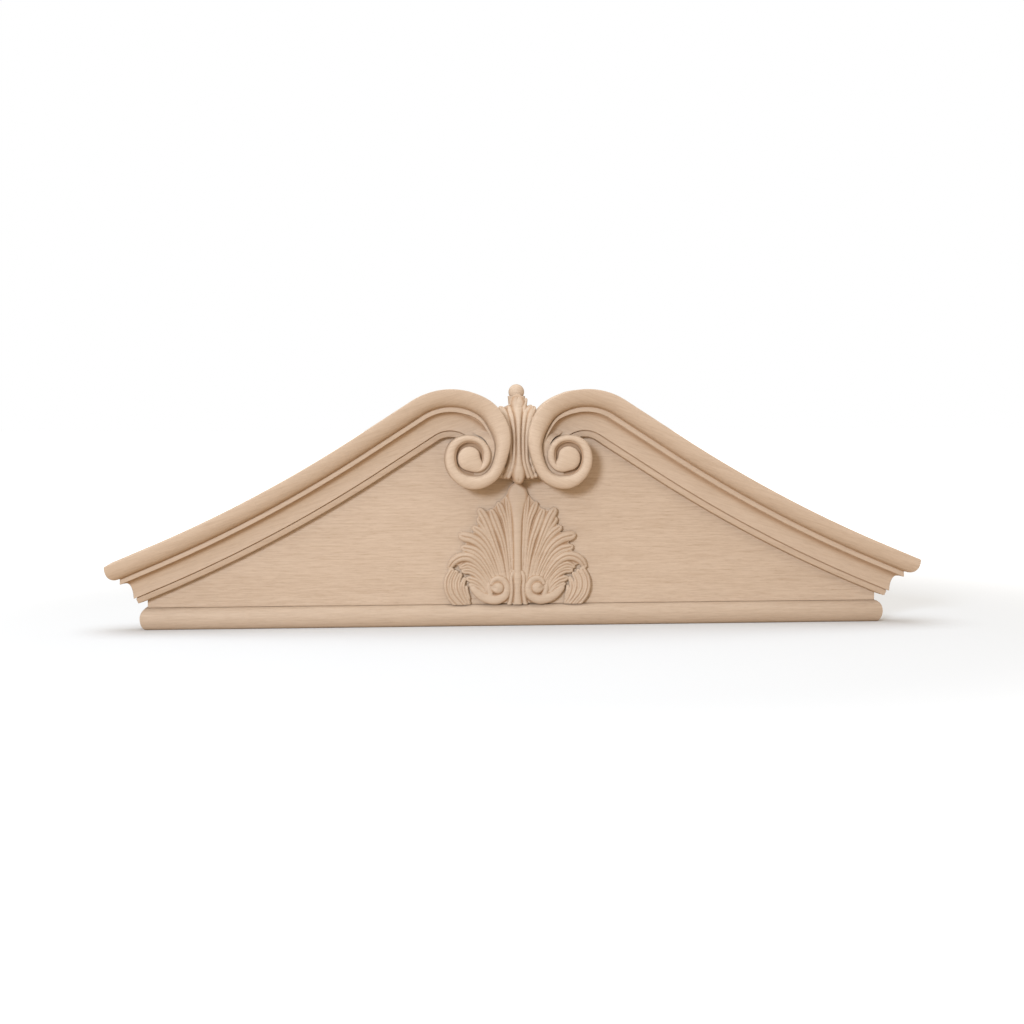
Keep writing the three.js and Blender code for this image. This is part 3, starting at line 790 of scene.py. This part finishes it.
# Shell: strands of the middle and of the right half, each a list of places along it with their
# distance across, height over the rail, half width and ridge
SHELL_OUTLINE = [
    (0, 176), (12, 168), (26, 152), (37, 142), (52, 138), (55, 126), (60, 116), (62, 108), (78, 102),
    (76, 88), (78, 78), (92, 68), (92, 60), (78, 54), (70, 44), (64, 32), (58, 14), (44, 4), (0, 1),
]
SHELL_STEM = [(0, 48, 6, 12), (0, 70, 5.8, 12), (0, 96, 6.4, 12), (0, 125, 7.6, 11.5), (0, 148, 11.5, 11),
              (0, 159, 15.2, 10.5), (0, 165, 14.6, 10), (0, 172, 9.5, 9), (0, 178.5, 2.4, 7.5)]
SHELL_FOOT = [(0, -4, 7.4, 10.5), (0, 10, 5.8, 12), (0, 24, 5.2, 12.8), (0, 38, 6.4, 13), (0, 46, 5.4, 12)]
SHELL_LEAVES = [
    [(6.4, 40, 1.8, 8), (7.4, 58, 2, 8), (9.4, 94, 2.7, 9), (11.4, 124, 3.5, 9.5), (14, 146, 4.2, 9.5),
     (15.4, 157, 3.4, 8.5)],
    [(9, 34, 2.2, 8), (11, 56, 2.2, 8), (13.8, 94, 2.8, 9), (18.2, 124, 4.2, 10), (24, 141, 5.6, 10),
     (27, 148, 4.6, 8.5)],
    [(12.5, 34, 3, 9), (14.5, 48, 3, 9), (17.6, 72, 3.8, 10), (22, 94, 5, 10.5), (28, 112, 6.2, 11),
     (33.5, 127, 6.6, 10.5), (37.5, 137, 5, 9)],
    [(18, 36, 3, 9), (20, 45, 3, 9), (24, 64, 3.4, 10), (29.5, 80, 4.3, 10.5), (36, 99, 5.2, 11),
     (42, 114, 6.4, 11), (48, 128, 7, 10.5), (53.5, 137.5, 6.2, 9)],
    [(41, 104, 4.6, 10), (48.5, 116, 5.8, 10), (55, 124.5, 5.4, 8.5)],
    [(22, 37, 3, 9), (24.5, 44, 3, 9), (29.5, 64, 3.5, 9.5), (35.5, 80, 4.4, 10), (43, 95, 5.6, 10.5),
     (52, 106, 6.2, 10.5), (61, 112.5, 5.6, 9)],
    [(27, 37.5, 3, 9), (29, 41, 3, 9), (34.5, 56, 3.9, 10), (40.5, 69, 4.9, 10.5), (47.5, 82, 6.2, 11),
     (56, 91.5, 7.2, 11.5), (67, 98.5, 7.8, 11), (79, 101.5, 7.4, 9)],
    [(32, 36, 3, 9), (34.5, 39.5, 3, 9), (40, 51, 3.8, 9.5), (46, 62, 4.6, 10), (54, 73, 5.8, 10),
     (65, 81, 6.6, 10), (77, 84, 6, 8.5)],
    [(36.5, 29, 3, 9), (38.5, 32, 3, 9), (43.5, 42, 3.9, 10), (51, 54, 5.1, 11), (60, 64, 6.4, 11.5),
     (71.5, 71, 7.2, 12), (84, 71, 7, 11.5), (94.5, 65, 6.2, 10), (100, 57.5, 4.4, 8)],
    [(39.5, 21, 2.8, 8), (42, 26, 2.8, 8), (46.5, 36, 3.5, 9), (54, 46.5, 4.6, 9.5), (63, 54.5, 5.2, 10),
     (74, 59, 5, 9.5), (83, 56, 3.4, 8)],
    [(38, 10, 2.8, 8), (45, 22, 2.8, 8), (51, 34, 3.6, 9), (60, 44, 4.6, 9.5), (70, 49.5, 4.6, 9),
     (79, 50, 3.8, 8)],
    [(40, 10, 3, 8), (46, 18, 3.2, 8), (53, 28, 4, 9), (62, 35, 4.8, 9.5), (71, 38, 4.6, 8.5)],
    [(47, 12, 3, 8), (54, 21, 3.8, 9), (62, 26, 4.2, 8.5), (69, 29, 3.2, 8)],
    [(97.5, 51, 4.2, 9), (103.5, 40, 4.6, 10), (105, 26.5, 4.8, 10.5), (101.5, 14, 4.8, 10),
     (95, 5, 4.8, 9), (88, -2, 4.6, 8)],
    [(91.5, 48, 4, 8), (96.5, 37, 4.6, 9), (97, 25, 4.8, 10), (92.5, 14, 4.8, 9.5), (86, 6, 4.6, 9),
     (79, -2, 4, 8)],
    [(85, 44, 3.6, 7), (89, 34, 4.4, 8.5), (89, 24, 4.6, 9.5), (85, 13, 4.6, 9), (78.5, 3, 4, 8)],
    [(79, 38, 3, 6), (81.8, 29, 4, 8), (81.5, 21, 4.2, 8.5), (77.5, 10, 4, 8), (73, 3, 3.4, 7)],
    [(75.5, 26, 2.4, 6), (75.6, 19, 3.2, 7), (73, 10, 3, 7)],
]
SHELL_ROLLS = [
    [(39.5, 31, 2.6, 11), (36, 36.5, 3.8, 11.5), (29, 39.2, 4.6, 12), (20.5, 35.6, 5, 12.3),
     (15.6, 26, 5.2, 12.5), (19, 13.5, 6.4, 12.5), (31, 7.5, 7.2, 12), (44, 9, 7.4, 11),
     (56, 14.5, 6.6, 10), (65.5, 23.5, 4.8, 9)],
    [(13, -4, 3.6, 9.5), (9.8, 10, 3, 11), (8.4, 24, 2.7, 12), (9.6, 36, 3, 12), (8.2, 45, 3, 11),
     (3.5, 51, 2.6, 9.5)],
    [(40, 15, 4.2, 10.5), (42.5, 22, 4, 10), (42.5, 30, 3.4, 9.5)],
]
SHELL_EYE = (29.5, 25, 8.8, 14.5)


def shell_shell():
    """Shell: strands, scroll eyes and a thin plate between them, as one relief."""
    foot = mm(sizes().rail_height) + JOINT_GAP
    scale = (mm(shell_high.z - UNDERSIDE) - foot) / SHELL_HEIGHT

    def strand(stroke, vein=0.0):
        points = [(x * scale, foot + z * scale, half * scale, ridge) for x, z, half, ridge in stroke]
        return lambda grid: stroke_field(grid, SHELL_CELL, points, SHELL_SHOULDER, SHELL_SHADE, vein)

    outline = mirrored_outline([(x * scale, foot + z * scale) for x, z in SHELL_OUTLINE])
    fields = [lambda grid: plate_field(grid, SHELL_CELL, outline, SHELL_PLATE),
              strand(SHELL_STEM), strand(SHELL_FOOT)]
    for leaf in SHELL_LEAVES:
        fields.extend(strand(stroke, VEIN_DEPTH) for stroke in both_sides(leaf))
    for roll in SHELL_ROLLS:
        fields.extend(strand(stroke) for stroke in both_sides(roll))
    across, up, radius, out = SHELL_EYE
    boss = [(across - 0.5, up, radius, out), (across + 0.5, up, radius, out)]
    fields.extend(strand(stroke) for stroke in both_sides(boss))
    half = mm(shell_high.x) + 1
    return relief((-half, foot), (half, mm(shell_high.z - UNDERSIDE) + 1), SHELL_CELL, fields, 1)


# Finial: strands up from its foot, and the turned neck, cup and knob. Its outer edge is a strand
# through listed places, across and up, whose lobes swell and shrink in turn
FINIAL_OUTLINE = [
    (0, 128), (9, 127), (11, 115), (22, 110), (19, 98), (13.5, 84), (11.9, 68), (11.9, 44),
    (15, 26), (22, 13), (20, 6), (8, 3), (0, 0),
]
FINIAL_STEM = [(0, 0, 1.5, 28), (0, 6, 8, 37), (0, 15, 9.8, 40), (0, 26, 6.6, 40), (0, 42, 4, 39),
               (0, 63, 3.5, 38), (0, 78, 3.9, 36), (0, 92, 4.9, 33), (0, 103, 6.9, 27), (0, 111, 9, 21),
               (0, 118, 10.6, 17)]
FINIAL_LEAVES = [
    [(14.5, 9, 3.8, 34), (10.5, 20, 3.6, 37), (7.4, 34, 3.2, 37.5), (6.6, 50, 3, 37), (6.6, 66, 3, 36),
     (7.4, 80, 3.4, 34), (9.2, 94, 4, 30), (11.2, 103, 4, 23.5), (12.2, 109, 3.4, 18)],
    [(20.5, 9, 4, 32), (16, 20, 3.8, 35.5), (12.4, 34, 3.2, 36), (11.8, 50, 2.9, 35.5), (12, 66, 3, 34.5),
     (13.8, 80, 3.6, 32.5), (17, 94, 4.6, 29), (20.4, 103, 5.2, 24.5), (23.4, 108, 4.2, 19)],
]
FINIAL_CURLS = [
    [(8.5, 104, 3.2, 22), (10.4, 113, 3.4, 17.5), (12.4, 121, 2.8, 13)],
    [(12.5, 100, 3.2, 23), (15.5, 108, 3.4, 19), (19.5, 111.5, 2.8, 15)],
]
FINIAL_EDGE = [(26, 10), (21.4, 22), (17.6, 36), (16.4, 52), (16.8, 68), (19.2, 82), (23, 94)]
FINIAL_LOBES = 15
LOBE_WIDTHS = (3.3, 1.9)
LOBE_RIDGES = (30.5, 26.0)

# Neck and cup, from the knob's radius and middle. The cup's profile is its radius over the
# knob's, its height over the cup's rim and how much painted shade darkens it
NECK_LENGTH = 3.8
CUP_DROP = 0.55
CUP_PROFILE = [
    (1.0, -14, 0), (1.05, -8, 0), (1.07, -2.5, 0), (1.12, -0.6, 0), (1.08, 0.6, 0.4), (0.97, -0.4, 1),
]
KNOB_HIDDEN = 32.0


def finial_shell():
    """Finial: a relief of strands over a plate, with the knob turned behind its top."""
    foot = mm(finial_low.z - UNDERSIDE)
    height = mm(finial_high.z - finial_low.z)
    raise_by = height / FINIAL_HEIGHT

    def strand(stroke):
        points = [(x, foot + z * raise_by, half, ridge) for x, z, half, ridge in stroke]
        return lambda grid: stroke_field(grid, FINIAL_CELL, points, FINIAL_SHOULDER, FINIAL_SHADE)

    outline = mirrored_outline([(x, foot + z * raise_by) for x, z in FINIAL_OUTLINE])
    fields = [lambda grid: plate_field(grid, FINIAL_CELL, outline, FINIAL_PLATE), strand(FINIAL_STEM)]
    for leaf in FINIAL_LEAVES:
        fields.extend(strand(stroke) for stroke in both_sides(leaf))
    fields.extend(strand(curl) for curl in FINIAL_CURLS)
    line = through(FINIAL_EDGE, np.linspace(0, len(FINIAL_EDGE) - 1, FINIAL_LOBES))
    wide = np.resize(LOBE_WIDTHS, FINIAL_LOBES)
    out = np.linspace(*LOBE_RIDGES, FINIAL_LOBES) + wide
    edge = [(*at, half, ridge) for at, half, ridge in zip(line, wide, out)]
    fields.extend(strand(stroke) for stroke in both_sides(edge))
    leaf = relief((-30, foot - 3), (30, foot + height - 10), FINIAL_CELL, fields, 1)
    knob = mm(sizes().knob_radius)
    top = foot + height
    centre = top - knob
    cup = centre - CUP_DROP * knob
    ball = np.linspace(math.radians(-KNOB_HIDDEN), math.pi / 2, 24)
    profile = [(0.1, centre - NECK_LENGTH * knob, 0), (0.95 * knob, centre - NECK_LENGTH * knob, 0)]
    profile += [(radius * knob, cup + rise, crease_shade) for radius, rise, crease_shade in CUP_PROFILE]
    profile += [(knob * math.cos(a), centre + knob * math.sin(a), 0) for a in ball[:-1]]
    profile.append((0.1, top, 0))
    return gathered([leaf, turned(profile, (0, -NECK_SETBACK), 48)])


# Wood


def grain_group():
    """Shared grain: long level streaks of two sizes and short pores, from noise stretched along
    the wood, mixed between two tones and then, by the painted shade's share, towards a darker
    third that paints shade into hollows. Puts out the colour, the roughness and a height."""
    group = bpy.data.node_groups.new("level_grain", "ShaderNodeTree")
    face = group.interface
    face.new_socket(name="Vector", in_out="INPUT", socket_type="NodeSocketVector")
    for name in ("Light", "Dark", "Shade"):
        face.new_socket(name=name, in_out="INPUT", socket_type="NodeSocketColor")
    for name in ("Streaks", "Roughness", "Crease"):
        face.new_socket(name=name, in_out="INPUT", socket_type="NodeSocketFloat")
    face.new_socket(name="Color", in_out="OUTPUT", socket_type="NodeSocketColor")
    for name in ("Roughness", "Height"):
        face.new_socket(name=name, in_out="OUTPUT", socket_type="NodeSocketFloat")
    nodes = group.nodes
    links = group.links
    entry = nodes.new("NodeGroupInput")
    exit_node = nodes.new("NodeGroupOutput")

    def noise(stretch, detail, distortion):
        scaled = nodes.new("ShaderNodeVectorMath")
        scaled.operation = "MULTIPLY"
        scaled.inputs[1].default_value = stretch
        links.new(entry.outputs["Vector"], scaled.inputs[0])
        texture = nodes.new("ShaderNodeTexNoise")
        texture.inputs["Scale"].default_value = 1.0
        texture.inputs["Detail"].default_value = detail
        texture.inputs["Distortion"].default_value = distortion
        links.new(scaled.outputs["Vector"], texture.inputs["Vector"])
        return texture.outputs["Fac"]

    def ranged(value, low, high, to_low, to_high):
        node = nodes.new("ShaderNodeMapRange")
        node.inputs["From Min"].default_value = low
        node.inputs["From Max"].default_value = high
        node.inputs["To Min"].default_value = to_low
        node.inputs["To Max"].default_value = to_high
        links.new(value, node.inputs["Value"])
        return node.outputs["Result"]

    def math_node(operation, first, second):
        node = nodes.new("ShaderNodeMath")
        node.operation = operation
        for socket, value in zip(node.inputs, (first, second)):
            if isinstance(value, (int, float)):
                socket.default_value = value
            else:
                links.new(value, socket)
        return node.outputs["Value"]

    def total(*terms):
        """Sum of values, each times its weight."""
        parts = [math_node("MULTIPLY", value, weight) for value, weight in terms]
        result = parts[0]
        for part in parts[1:]:
            result = math_node("ADD", result, part)
        return result

    broad = ranged(noise((2.5, 20, 36), 3, 0.6), 0.36, 0.66, 0, 1)
    streaks = ranged(noise((16, 120, 380), 4, 0.1), 0.42, 0.66, 0, 1)
    fine = ranged(noise((60, 300, 800), 3, 0), 0.42, 0.66, 0, 1)
    pores = ranged(noise((110, 700, 1500), 1, 0), 0.58, 0.7, 0, 1)
    tone = total((broad, 0.16), (streaks, 0.36), (fine, 0.34), (pores, 0.34))
    tone = math_node("MULTIPLY", tone, entry.outputs["Streaks"])
    blend = nodes.new("ShaderNodeMix")
    blend.data_type = "RGBA"
    links.new(tone, blend.inputs["Factor"])
    links.new(entry.outputs["Light"], blend.inputs["A"])
    links.new(entry.outputs["Dark"], blend.inputs["B"])
    deep = nodes.new("ShaderNodeMix")
    deep.data_type = "RGBA"
    links.new(entry.outputs["Crease"], deep.inputs["Factor"])
    links.new(blend.outputs["Result"], deep.inputs["A"])
    links.new(entry.outputs["Shade"], deep.inputs["B"])
    links.new(deep.outputs["Result"], exit_node.inputs["Color"])
    rough = math_node("ADD", entry.outputs["Roughness"], math_node("MULTIPLY", fine, 0.08))
    links.new(rough, exit_node.inputs["Roughness"])
    links.new(total((fine, -0.6), (pores, -0.8), (streaks, -0.4)), exit_node.inputs["Height"])
    return group


def wood(name, group, tilt, streaks, lift, shift):
    """A wood finish: the shared grain, turned to lie along the piece, with its own strength."""
    l = look()
    material = bpy.data.materials.new(name)
    material.use_nodes = True
    nodes = material.node_tree.nodes
    links = material.node_tree.links
    shader = nodes["Principled BSDF"]
    shader.inputs["Specular IOR Level"].default_value = 0.25
    where = nodes.new("ShaderNodeTexCoord")
    turn = nodes.new("ShaderNodeMapping")
    turn.inputs["Location"].default_value = shift
    turn.inputs["Rotation"].default_value = (0, tilt, 0)
    grain = nodes.new("ShaderNodeGroup")
    grain.node_tree = group
    grain.inputs["Light"].default_value = (*[c * lift for c in l.light_wood], 1)
    grain.inputs["Dark"].default_value = (*[c * lift for c in l.dark_wood], 1)
    grain.inputs["Shade"].default_value = (*l.crease_shade_wood, 1)
    grain.inputs["Streaks"].default_value = streaks * l.grain_strength
    grain.inputs["Roughness"].default_value = l.roughness
    bump = nodes.new("ShaderNodeBump")
    bump.inputs["Strength"].default_value = 0.25
    bump.inputs["Distance"].default_value = 0.0003
    links.new(where.outputs["Object"], turn.inputs["Vector"])
    links.new(turn.outputs["Vector"], grain.inputs["Vector"])
    # Painted shade: the point attribute darkens the grain's colour where shade falls
    crease_shade = nodes.new("ShaderNodeAttribute")
    crease_shade.attribute_name = "crease_shade"
    strength = nodes.new("ShaderNodeMath")
    strength.operation = "MULTIPLY"
    strength.inputs[1].default_value = l.crease_shade_strength
    links.new(crease_shade.outputs["Fac"], strength.inputs[0])
    links.new(strength.outputs["Value"], grain.inputs["Crease"])
    links.new(grain.outputs["Color"], shader.inputs["Base Color"])
    links.new(grain.outputs["Roughness"], shader.inputs["Roughness"])
    links.new(grain.outputs["Height"], bump.inputs["Height"])
    links.new(bump.outputs["Normal"], shader.inputs["Normal"])
    return material


def finish(name):
    """The named wood finish, made with its like the first time it is asked for."""
    if name not in bpy.data.materials:
        group = bpy.data.node_groups.get("level_grain") or grain_group()
        slope = math.radians(18)
        # The third value scales the wood's tone: the rail and carved finishes are a little darker, as painted
        # shade for how the light falls on them
        finishes = {
            "board_wood_fine": (0.0, 1.0, 1.0, (0, 0, 0)),
            "rail_wood_fine": (0.0, 0.8, 0.96, (3, 0, 1)),
            "crown_wood_right": (-slope, 0.7, 1.0, (5, 1, 2)),
            "crown_wood_left": (slope, 0.7, 1.0, (7, 2, 3)),
            "carved_wood_fine": (0.0, 0.6, 0.96, (9, 3, 4)),
        }
        wood(name, group, *finishes[name])
    return bpy.data.materials[name]


# Settings


def length(name, description, default):
    """Setting for a length in metres."""
    return FloatProperty(name=name, description=description, default=default, unit="LENGTH")


def tone(name, description, default):
    """Setting for a colour."""
    return FloatVectorProperty(
        name=name, description=description, subtype="COLOR", size=3, min=0, max=1, default=default)


def share(name, description, default):
    """Setting for a share from 0 to 1."""
    return FloatProperty(
        name=name, description=description, default=default, min=0, max=1, subtype="FACTOR")


def turn(name, description, degrees):
    """Setting for an angle."""
    return FloatProperty(
        name=name, description=description, unit="ROTATION", default=math.radians(degrees))


class PedimentSizes(bpy.types.PropertyGroup):
    """Sizes of the pieces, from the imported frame"""

    board_length: length(
        "Board length", "Length of the board from end to end",
        board_high.x - board_low.x)
    board_thickness: length(
        "Board thickness", "Thickness of the board",
        board_high.y - board_low.y)
    rail_height: length(
        "Rail height", "Height of the rail under the board",
        rail_high.z - rail_low.z)
    rail_nosing: length(
        "Rail nosing", "How far the rail's nosing stands out from the board",
        board_low.y - rail_low.y)
    crown_projection: length(
        "Crown projection", "How far the crown stands out from the board",
        round(board_low.y - crown_low.y, 4))
    ovolo_width: length(
        "Ovolo width", "Width of the round member of the crown",
        0.0265)
    fillet_width: length(
        "Fillet width", "Width of the flat fillet under the round member",
        0.0065)
    cove_width: length(
        "Cove width", "Width of the hollow under the fillet",
        0.0255)
    lower_fillet_width: length(
        "Lower fillet width", "Width of the lowest fillet of the crown",
        0.0087)
    crest_height: length(
        "Crest height", "Height of the crest over the underside of the rail",
        round(crown_high.z - UNDERSIDE, 4))
    crest_radius: length(
        "Crest radius", "Radius of the crest's top line",
        0.103)
    crest_inset: length(
        "Crest inset", "Distance of the crest from the middle",
        0.1)
    knob_radius: length(
        "Knob radius", "Radius of the knob on the finial",
        0.0117)


class PedimentLook(bpy.types.PropertyGroup):
    """Colours and finish of the wood, with the tone and strength of its painted shade"""

    light_wood: tone("Light wood", "Tone between the grain's streaks", (0.585, 0.49, 0.395))
    dark_wood: tone("Dark wood", "Tone of the grain's streaks and pores", (0.345, 0.25, 0.168))
    grain_strength: share("Grain strength", "How far the streaks reach the dark tone", 0.56)
    # Painted shade: the tone and strength with which hollows, grooves and joins are darkened
    crease_shade_wood: tone("Crease wood", "Tone deep in the carving's creases", (0.32, 0.17, 0.068))
    crease_shade_strength: share("Crease strength", "How far the creases reach their tone", 0.58)
    roughness: share("Roughness", "Roughness of the unfinished wood", 0.6)


class PedimentStudio(bpy.types.PropertyGroup):
    """Lights, floor and camera"""

    key_power: FloatProperty(
        name="Key power", description="Power of the soft main light", default=355, min=0, unit="POWER")
    overhead_power: FloatProperty(
        name="Overhead power", description="Power of the large light above", default=44, min=0,
        unit="POWER")
    fill_strength: FloatProperty(
        name="Fill strength", description="Light from the white surroundings", default=0.63, min=0)
    camera_lens: FloatProperty(
        name="Lens", description="Focal length on a 36 mm sensor", default=62.0, min=1, subtype="NONE")
    camera_place: FloatVectorProperty(
        name="Camera place", description="Place of the camera in the frame", size=3,
        subtype="TRANSLATION", unit="LENGTH", default=(-0.2224, -2.6418, 0.1661))
    camera_yaw: turn("Camera yaw", "Turn of the view towards the right", 4.70)
    camera_pitch: turn("Camera pitch", "Tilt of the view downwards", 3.19)
    camera_roll: turn("Camera roll", "Turn of the picture", 0.14)


# Studio


def by_camera(tree, bounced, seen):
    """Colour for light that bounces, changed for the one that the camera sees. Puts out that
    colour and whether the ray is the camera's."""
    path = tree.nodes.new("ShaderNodeLightPath")
    blend = tree.nodes.new("ShaderNodeMix")
    blend.data_type = "RGBA"
    blend.inputs["A"].default_value = (*bounced, 1)
    blend.inputs["B"].default_value = (*seen, 1)
    tree.links.new(path.outputs["Is Camera Ray"], blend.inputs["Factor"])
    return blend.outputs["Result"], path.outputs["Is Camera Ray"]


def white_surroundings(strength):
    """World that the camera sees as white and that lights the wood with a weaker, warmer white."""
    world = bpy.data.worlds.new("studio_white")
    world.use_nodes = True
    background = world.node_tree.nodes["Background"]
    background.inputs["Strength"].default_value = 1.0
    shown, _ = by_camera(world.node_tree, [strength * tint for tint in FILL_TINT], (1, 1, 1))
    world.node_tree.links.new(shown, background.inputs["Color"])
    return world


def paper():
    """White paper that fades into the white surroundings with its distance from the middle."""
    material = bpy.data.materials.new("white_paper")
    material.use_nodes = True
    nodes = material.node_tree.nodes
    links = material.node_tree.links
    shader = nodes["Principled BSDF"]
    shader.inputs["Roughness"].default_value = 1.0
    shader.inputs["Specular IOR Level"].default_value = 0.0
    shader.inputs["Emission Color"].default_value = (1, 1, 1, 1)
    shown, camera_ray = by_camera(material.node_tree, PAPER_BOUNCE, PAPER_SEEN)
    where = nodes.new("ShaderNodeTexCoord")
    away = nodes.new("ShaderNodeVectorMath")
    away.operation = "LENGTH"
    reached = nodes.new("ShaderNodeMapRange")
    reached.interpolation_type = "SMOOTHSTEP"
    reached.inputs["From Min"].default_value = PAPER_FADE[0]
    reached.inputs["From Max"].default_value = PAPER_FADE[1]
    glow = nodes.new("ShaderNodeMath")
    glow.operation = "MULTIPLY"
    links.new(shown, shader.inputs["Base Color"])
    links.new(where.outputs["Object"], away.inputs[0])
    links.new(away.outputs["Value"], reached.inputs["Value"])
    links.new(reached.outputs["Result"], glow.inputs[0])
    links.new(camera_ray, glow.inputs[1])
    links.new(glow.outputs["Value"], shader.inputs["Emission Strength"])
    return material


def add_light(name, place, size, tint, power):
    """Square soft light that faces the middle of the pediment."""
    light = bpy.data.lights.new(name, "AREA")
    light.color = tint
    light.size = size
    light.energy = power
    holder = bpy.data.objects.new(name, light)
    holder.location = place
    holder.rotation_euler = (-Vector(place)).to_track_quat("-Z", "Y").to_euler()
    bpy.context.scene.collection.objects.link(holder)


# Operators


class PEDIMENT_OT_board(bpy.types.Operator):
    """Make the flat board, its top cut to the crown's line"""

    bl_idname = "pediment.board"
    bl_label = "Board"

    def execute(self, context):
        make_piece("board", board_shell(), finish("board_wood_fine"), "tympanum_board", 30)
        return {"FINISHED"}


class PEDIMENT_OT_rail(bpy.types.Operator):
    """Make the nosed rail under the board"""

    bl_idname = "pediment.rail"
    bl_label = "Rail"

    def execute(self, context):
        make_piece("rail", rail_shell(), finish("rail_wood_fine"), "base_rail", 30)
        return {"FINISHED"}


class PEDIMENT_OT_crowns(bpy.types.Operator):
    """Make the two raking crowns with their volutes"""

    bl_idname = "pediment.crowns"
    bl_label = "Crowns"

    def execute(self, context):
        right = crown_shell()
        make_piece("crown_fine_right", right, finish("crown_wood_right"),
                   "crown_right", 32)
        make_piece("crown_fine_left", mirrored(right), finish("crown_wood_left"),
                   "crown_left", 32)
        return {"FINISHED"}


class PEDIMENT_OT_returns(bpy.types.Operator):
    """Make the two short returns of the crown to the wall"""

    bl_idname = "pediment.returns"
    bl_label = "Returns"

    def execute(self, context):
        right = return_shell()
        make_piece("return_fine_right", right, finish("crown_wood_right"),
                   "return_right", 32)
        make_piece("return_fine_left", mirrored(right), finish("crown_wood_left"),
                   "return_left", 32)
        return {"FINISHED"}


class PEDIMENT_OT_finial(bpy.types.Operator):
    """Make the carved finial with its knob"""

    bl_idname = "pediment.finial"
    bl_label = "Finial"

    def execute(self, context):
        make_piece("finial_fine", finial_shell(), finish("carved_wood_fine"), "finial", 50)
        return {"FINISHED"}


class PEDIMENT_OT_shell(bpy.types.Operator):
    """Make the carved shell"""

    bl_idname = "pediment.shell"
    bl_label = "Shell"

    def execute(self, context):
        make_piece("shell_fine", shell_shell(), finish("carved_wood_fine"), "shell", 50)
        return {"FINISHED"}


class PEDIMENT_OT_stage(bpy.types.Operator):
    """Make the floor, the lights, the white surroundings and the camera"""

    bl_idname = "pediment.stage"
    bl_label = "Stage"

    def execute(self, context):
        scene = context.scene
        scene.view_settings.view_transform = "Standard"
        s = studio()
        scene.world = white_surroundings(s.fill_strength)

        corners = [(-1, -1), (1, -1), (1, 1), (-1, 1)]
        mesh = bpy.data.meshes.new("floor")
        mesh.from_pydata(
            [(x * FLOOR_REACH, y * FLOOR_REACH, UNDERSIDE) for x, y in corners], [], [(0, 1, 2, 3)])
        mesh.materials.append(paper())
        floor = bpy.data.objects.new("floor", mesh)
        scene.collection.objects.link(floor)

        add_light("key", (-3.2, -7.1, 2.1), 1.5, (0.95, 1, 1.08), s.key_power)
        add_light("overhead", (-0.4, -0.15, 2.4), 2.8, (0.98, 1.0, 1.02), s.overhead_power)

        camera = bpy.data.cameras.new("camera")
        camera.sensor_width = 36
        camera.lens = s.camera_lens
        camera_object = bpy.data.objects.new("camera", camera)
        camera_object.location = s.camera_place
        level = Euler((math.pi / 2 - s.camera_pitch, 0, -s.camera_yaw)).to_matrix()
        camera_object.rotation_euler = (level @ Euler((0, 0, -s.camera_roll)).to_matrix()).to_euler()
        scene.collection.objects.link(camera_object)
        scene.camera = camera_object
        return {"FINISHED"}


class PEDIMENT_PT_panel(bpy.types.Panel):
    """Sidebar panel with the settings and the steps in order"""

    bl_idname = "PEDIMENT_PT_panel"
    bl_label = "Pediment"
    bl_space_type = "VIEW_3D"
    bl_region_type = "UI"
    bl_category = "Pediment"

    def draw(self, context):
        for group in ("pediment_sizes", "pediment_look", "pediment_studio"):
            settings = getattr(context.scene, group)
            box = self.layout.box()
            for name in settings.bl_rna.properties.keys():
                if name not in ("rna_type", "name"):
                    box.prop(settings, name)
        for operator in PIECES:
            self.layout.operator(operator.bl_idname)


PIECES = (
    PEDIMENT_OT_stage,
    PEDIMENT_OT_board,
    PEDIMENT_OT_rail,
    PEDIMENT_OT_crowns,
    PEDIMENT_OT_returns,
    PEDIMENT_OT_finial,
    PEDIMENT_OT_shell,
)
CLASSES = (PedimentSizes, PedimentLook, PedimentStudio, *PIECES, PEDIMENT_PT_panel)


def register():
    for item in CLASSES:
        bpy.utils.register_class(item)
    bpy.types.Scene.pediment_sizes = PointerProperty(type=PedimentSizes)
    bpy.types.Scene.pediment_look = PointerProperty(type=PedimentLook)
    bpy.types.Scene.pediment_studio = PointerProperty(type=PedimentStudio)


def unregister():
    del bpy.types.Scene.pediment_studio
    del bpy.types.Scene.pediment_look
    del bpy.types.Scene.pediment_sizes
    for item in reversed(CLASSES):
        bpy.utils.unregister_class(item)


def main():
    """Make every piece in order."""
    register()
    bpy.ops.pediment.stage()
    bpy.ops.pediment.board()
    bpy.ops.pediment.rail()
    bpy.ops.pediment.crowns()
    bpy.ops.pediment.returns()
    bpy.ops.pediment.finial()
    bpy.ops.pediment.shell()


if __name__ == "__main__":
    main()
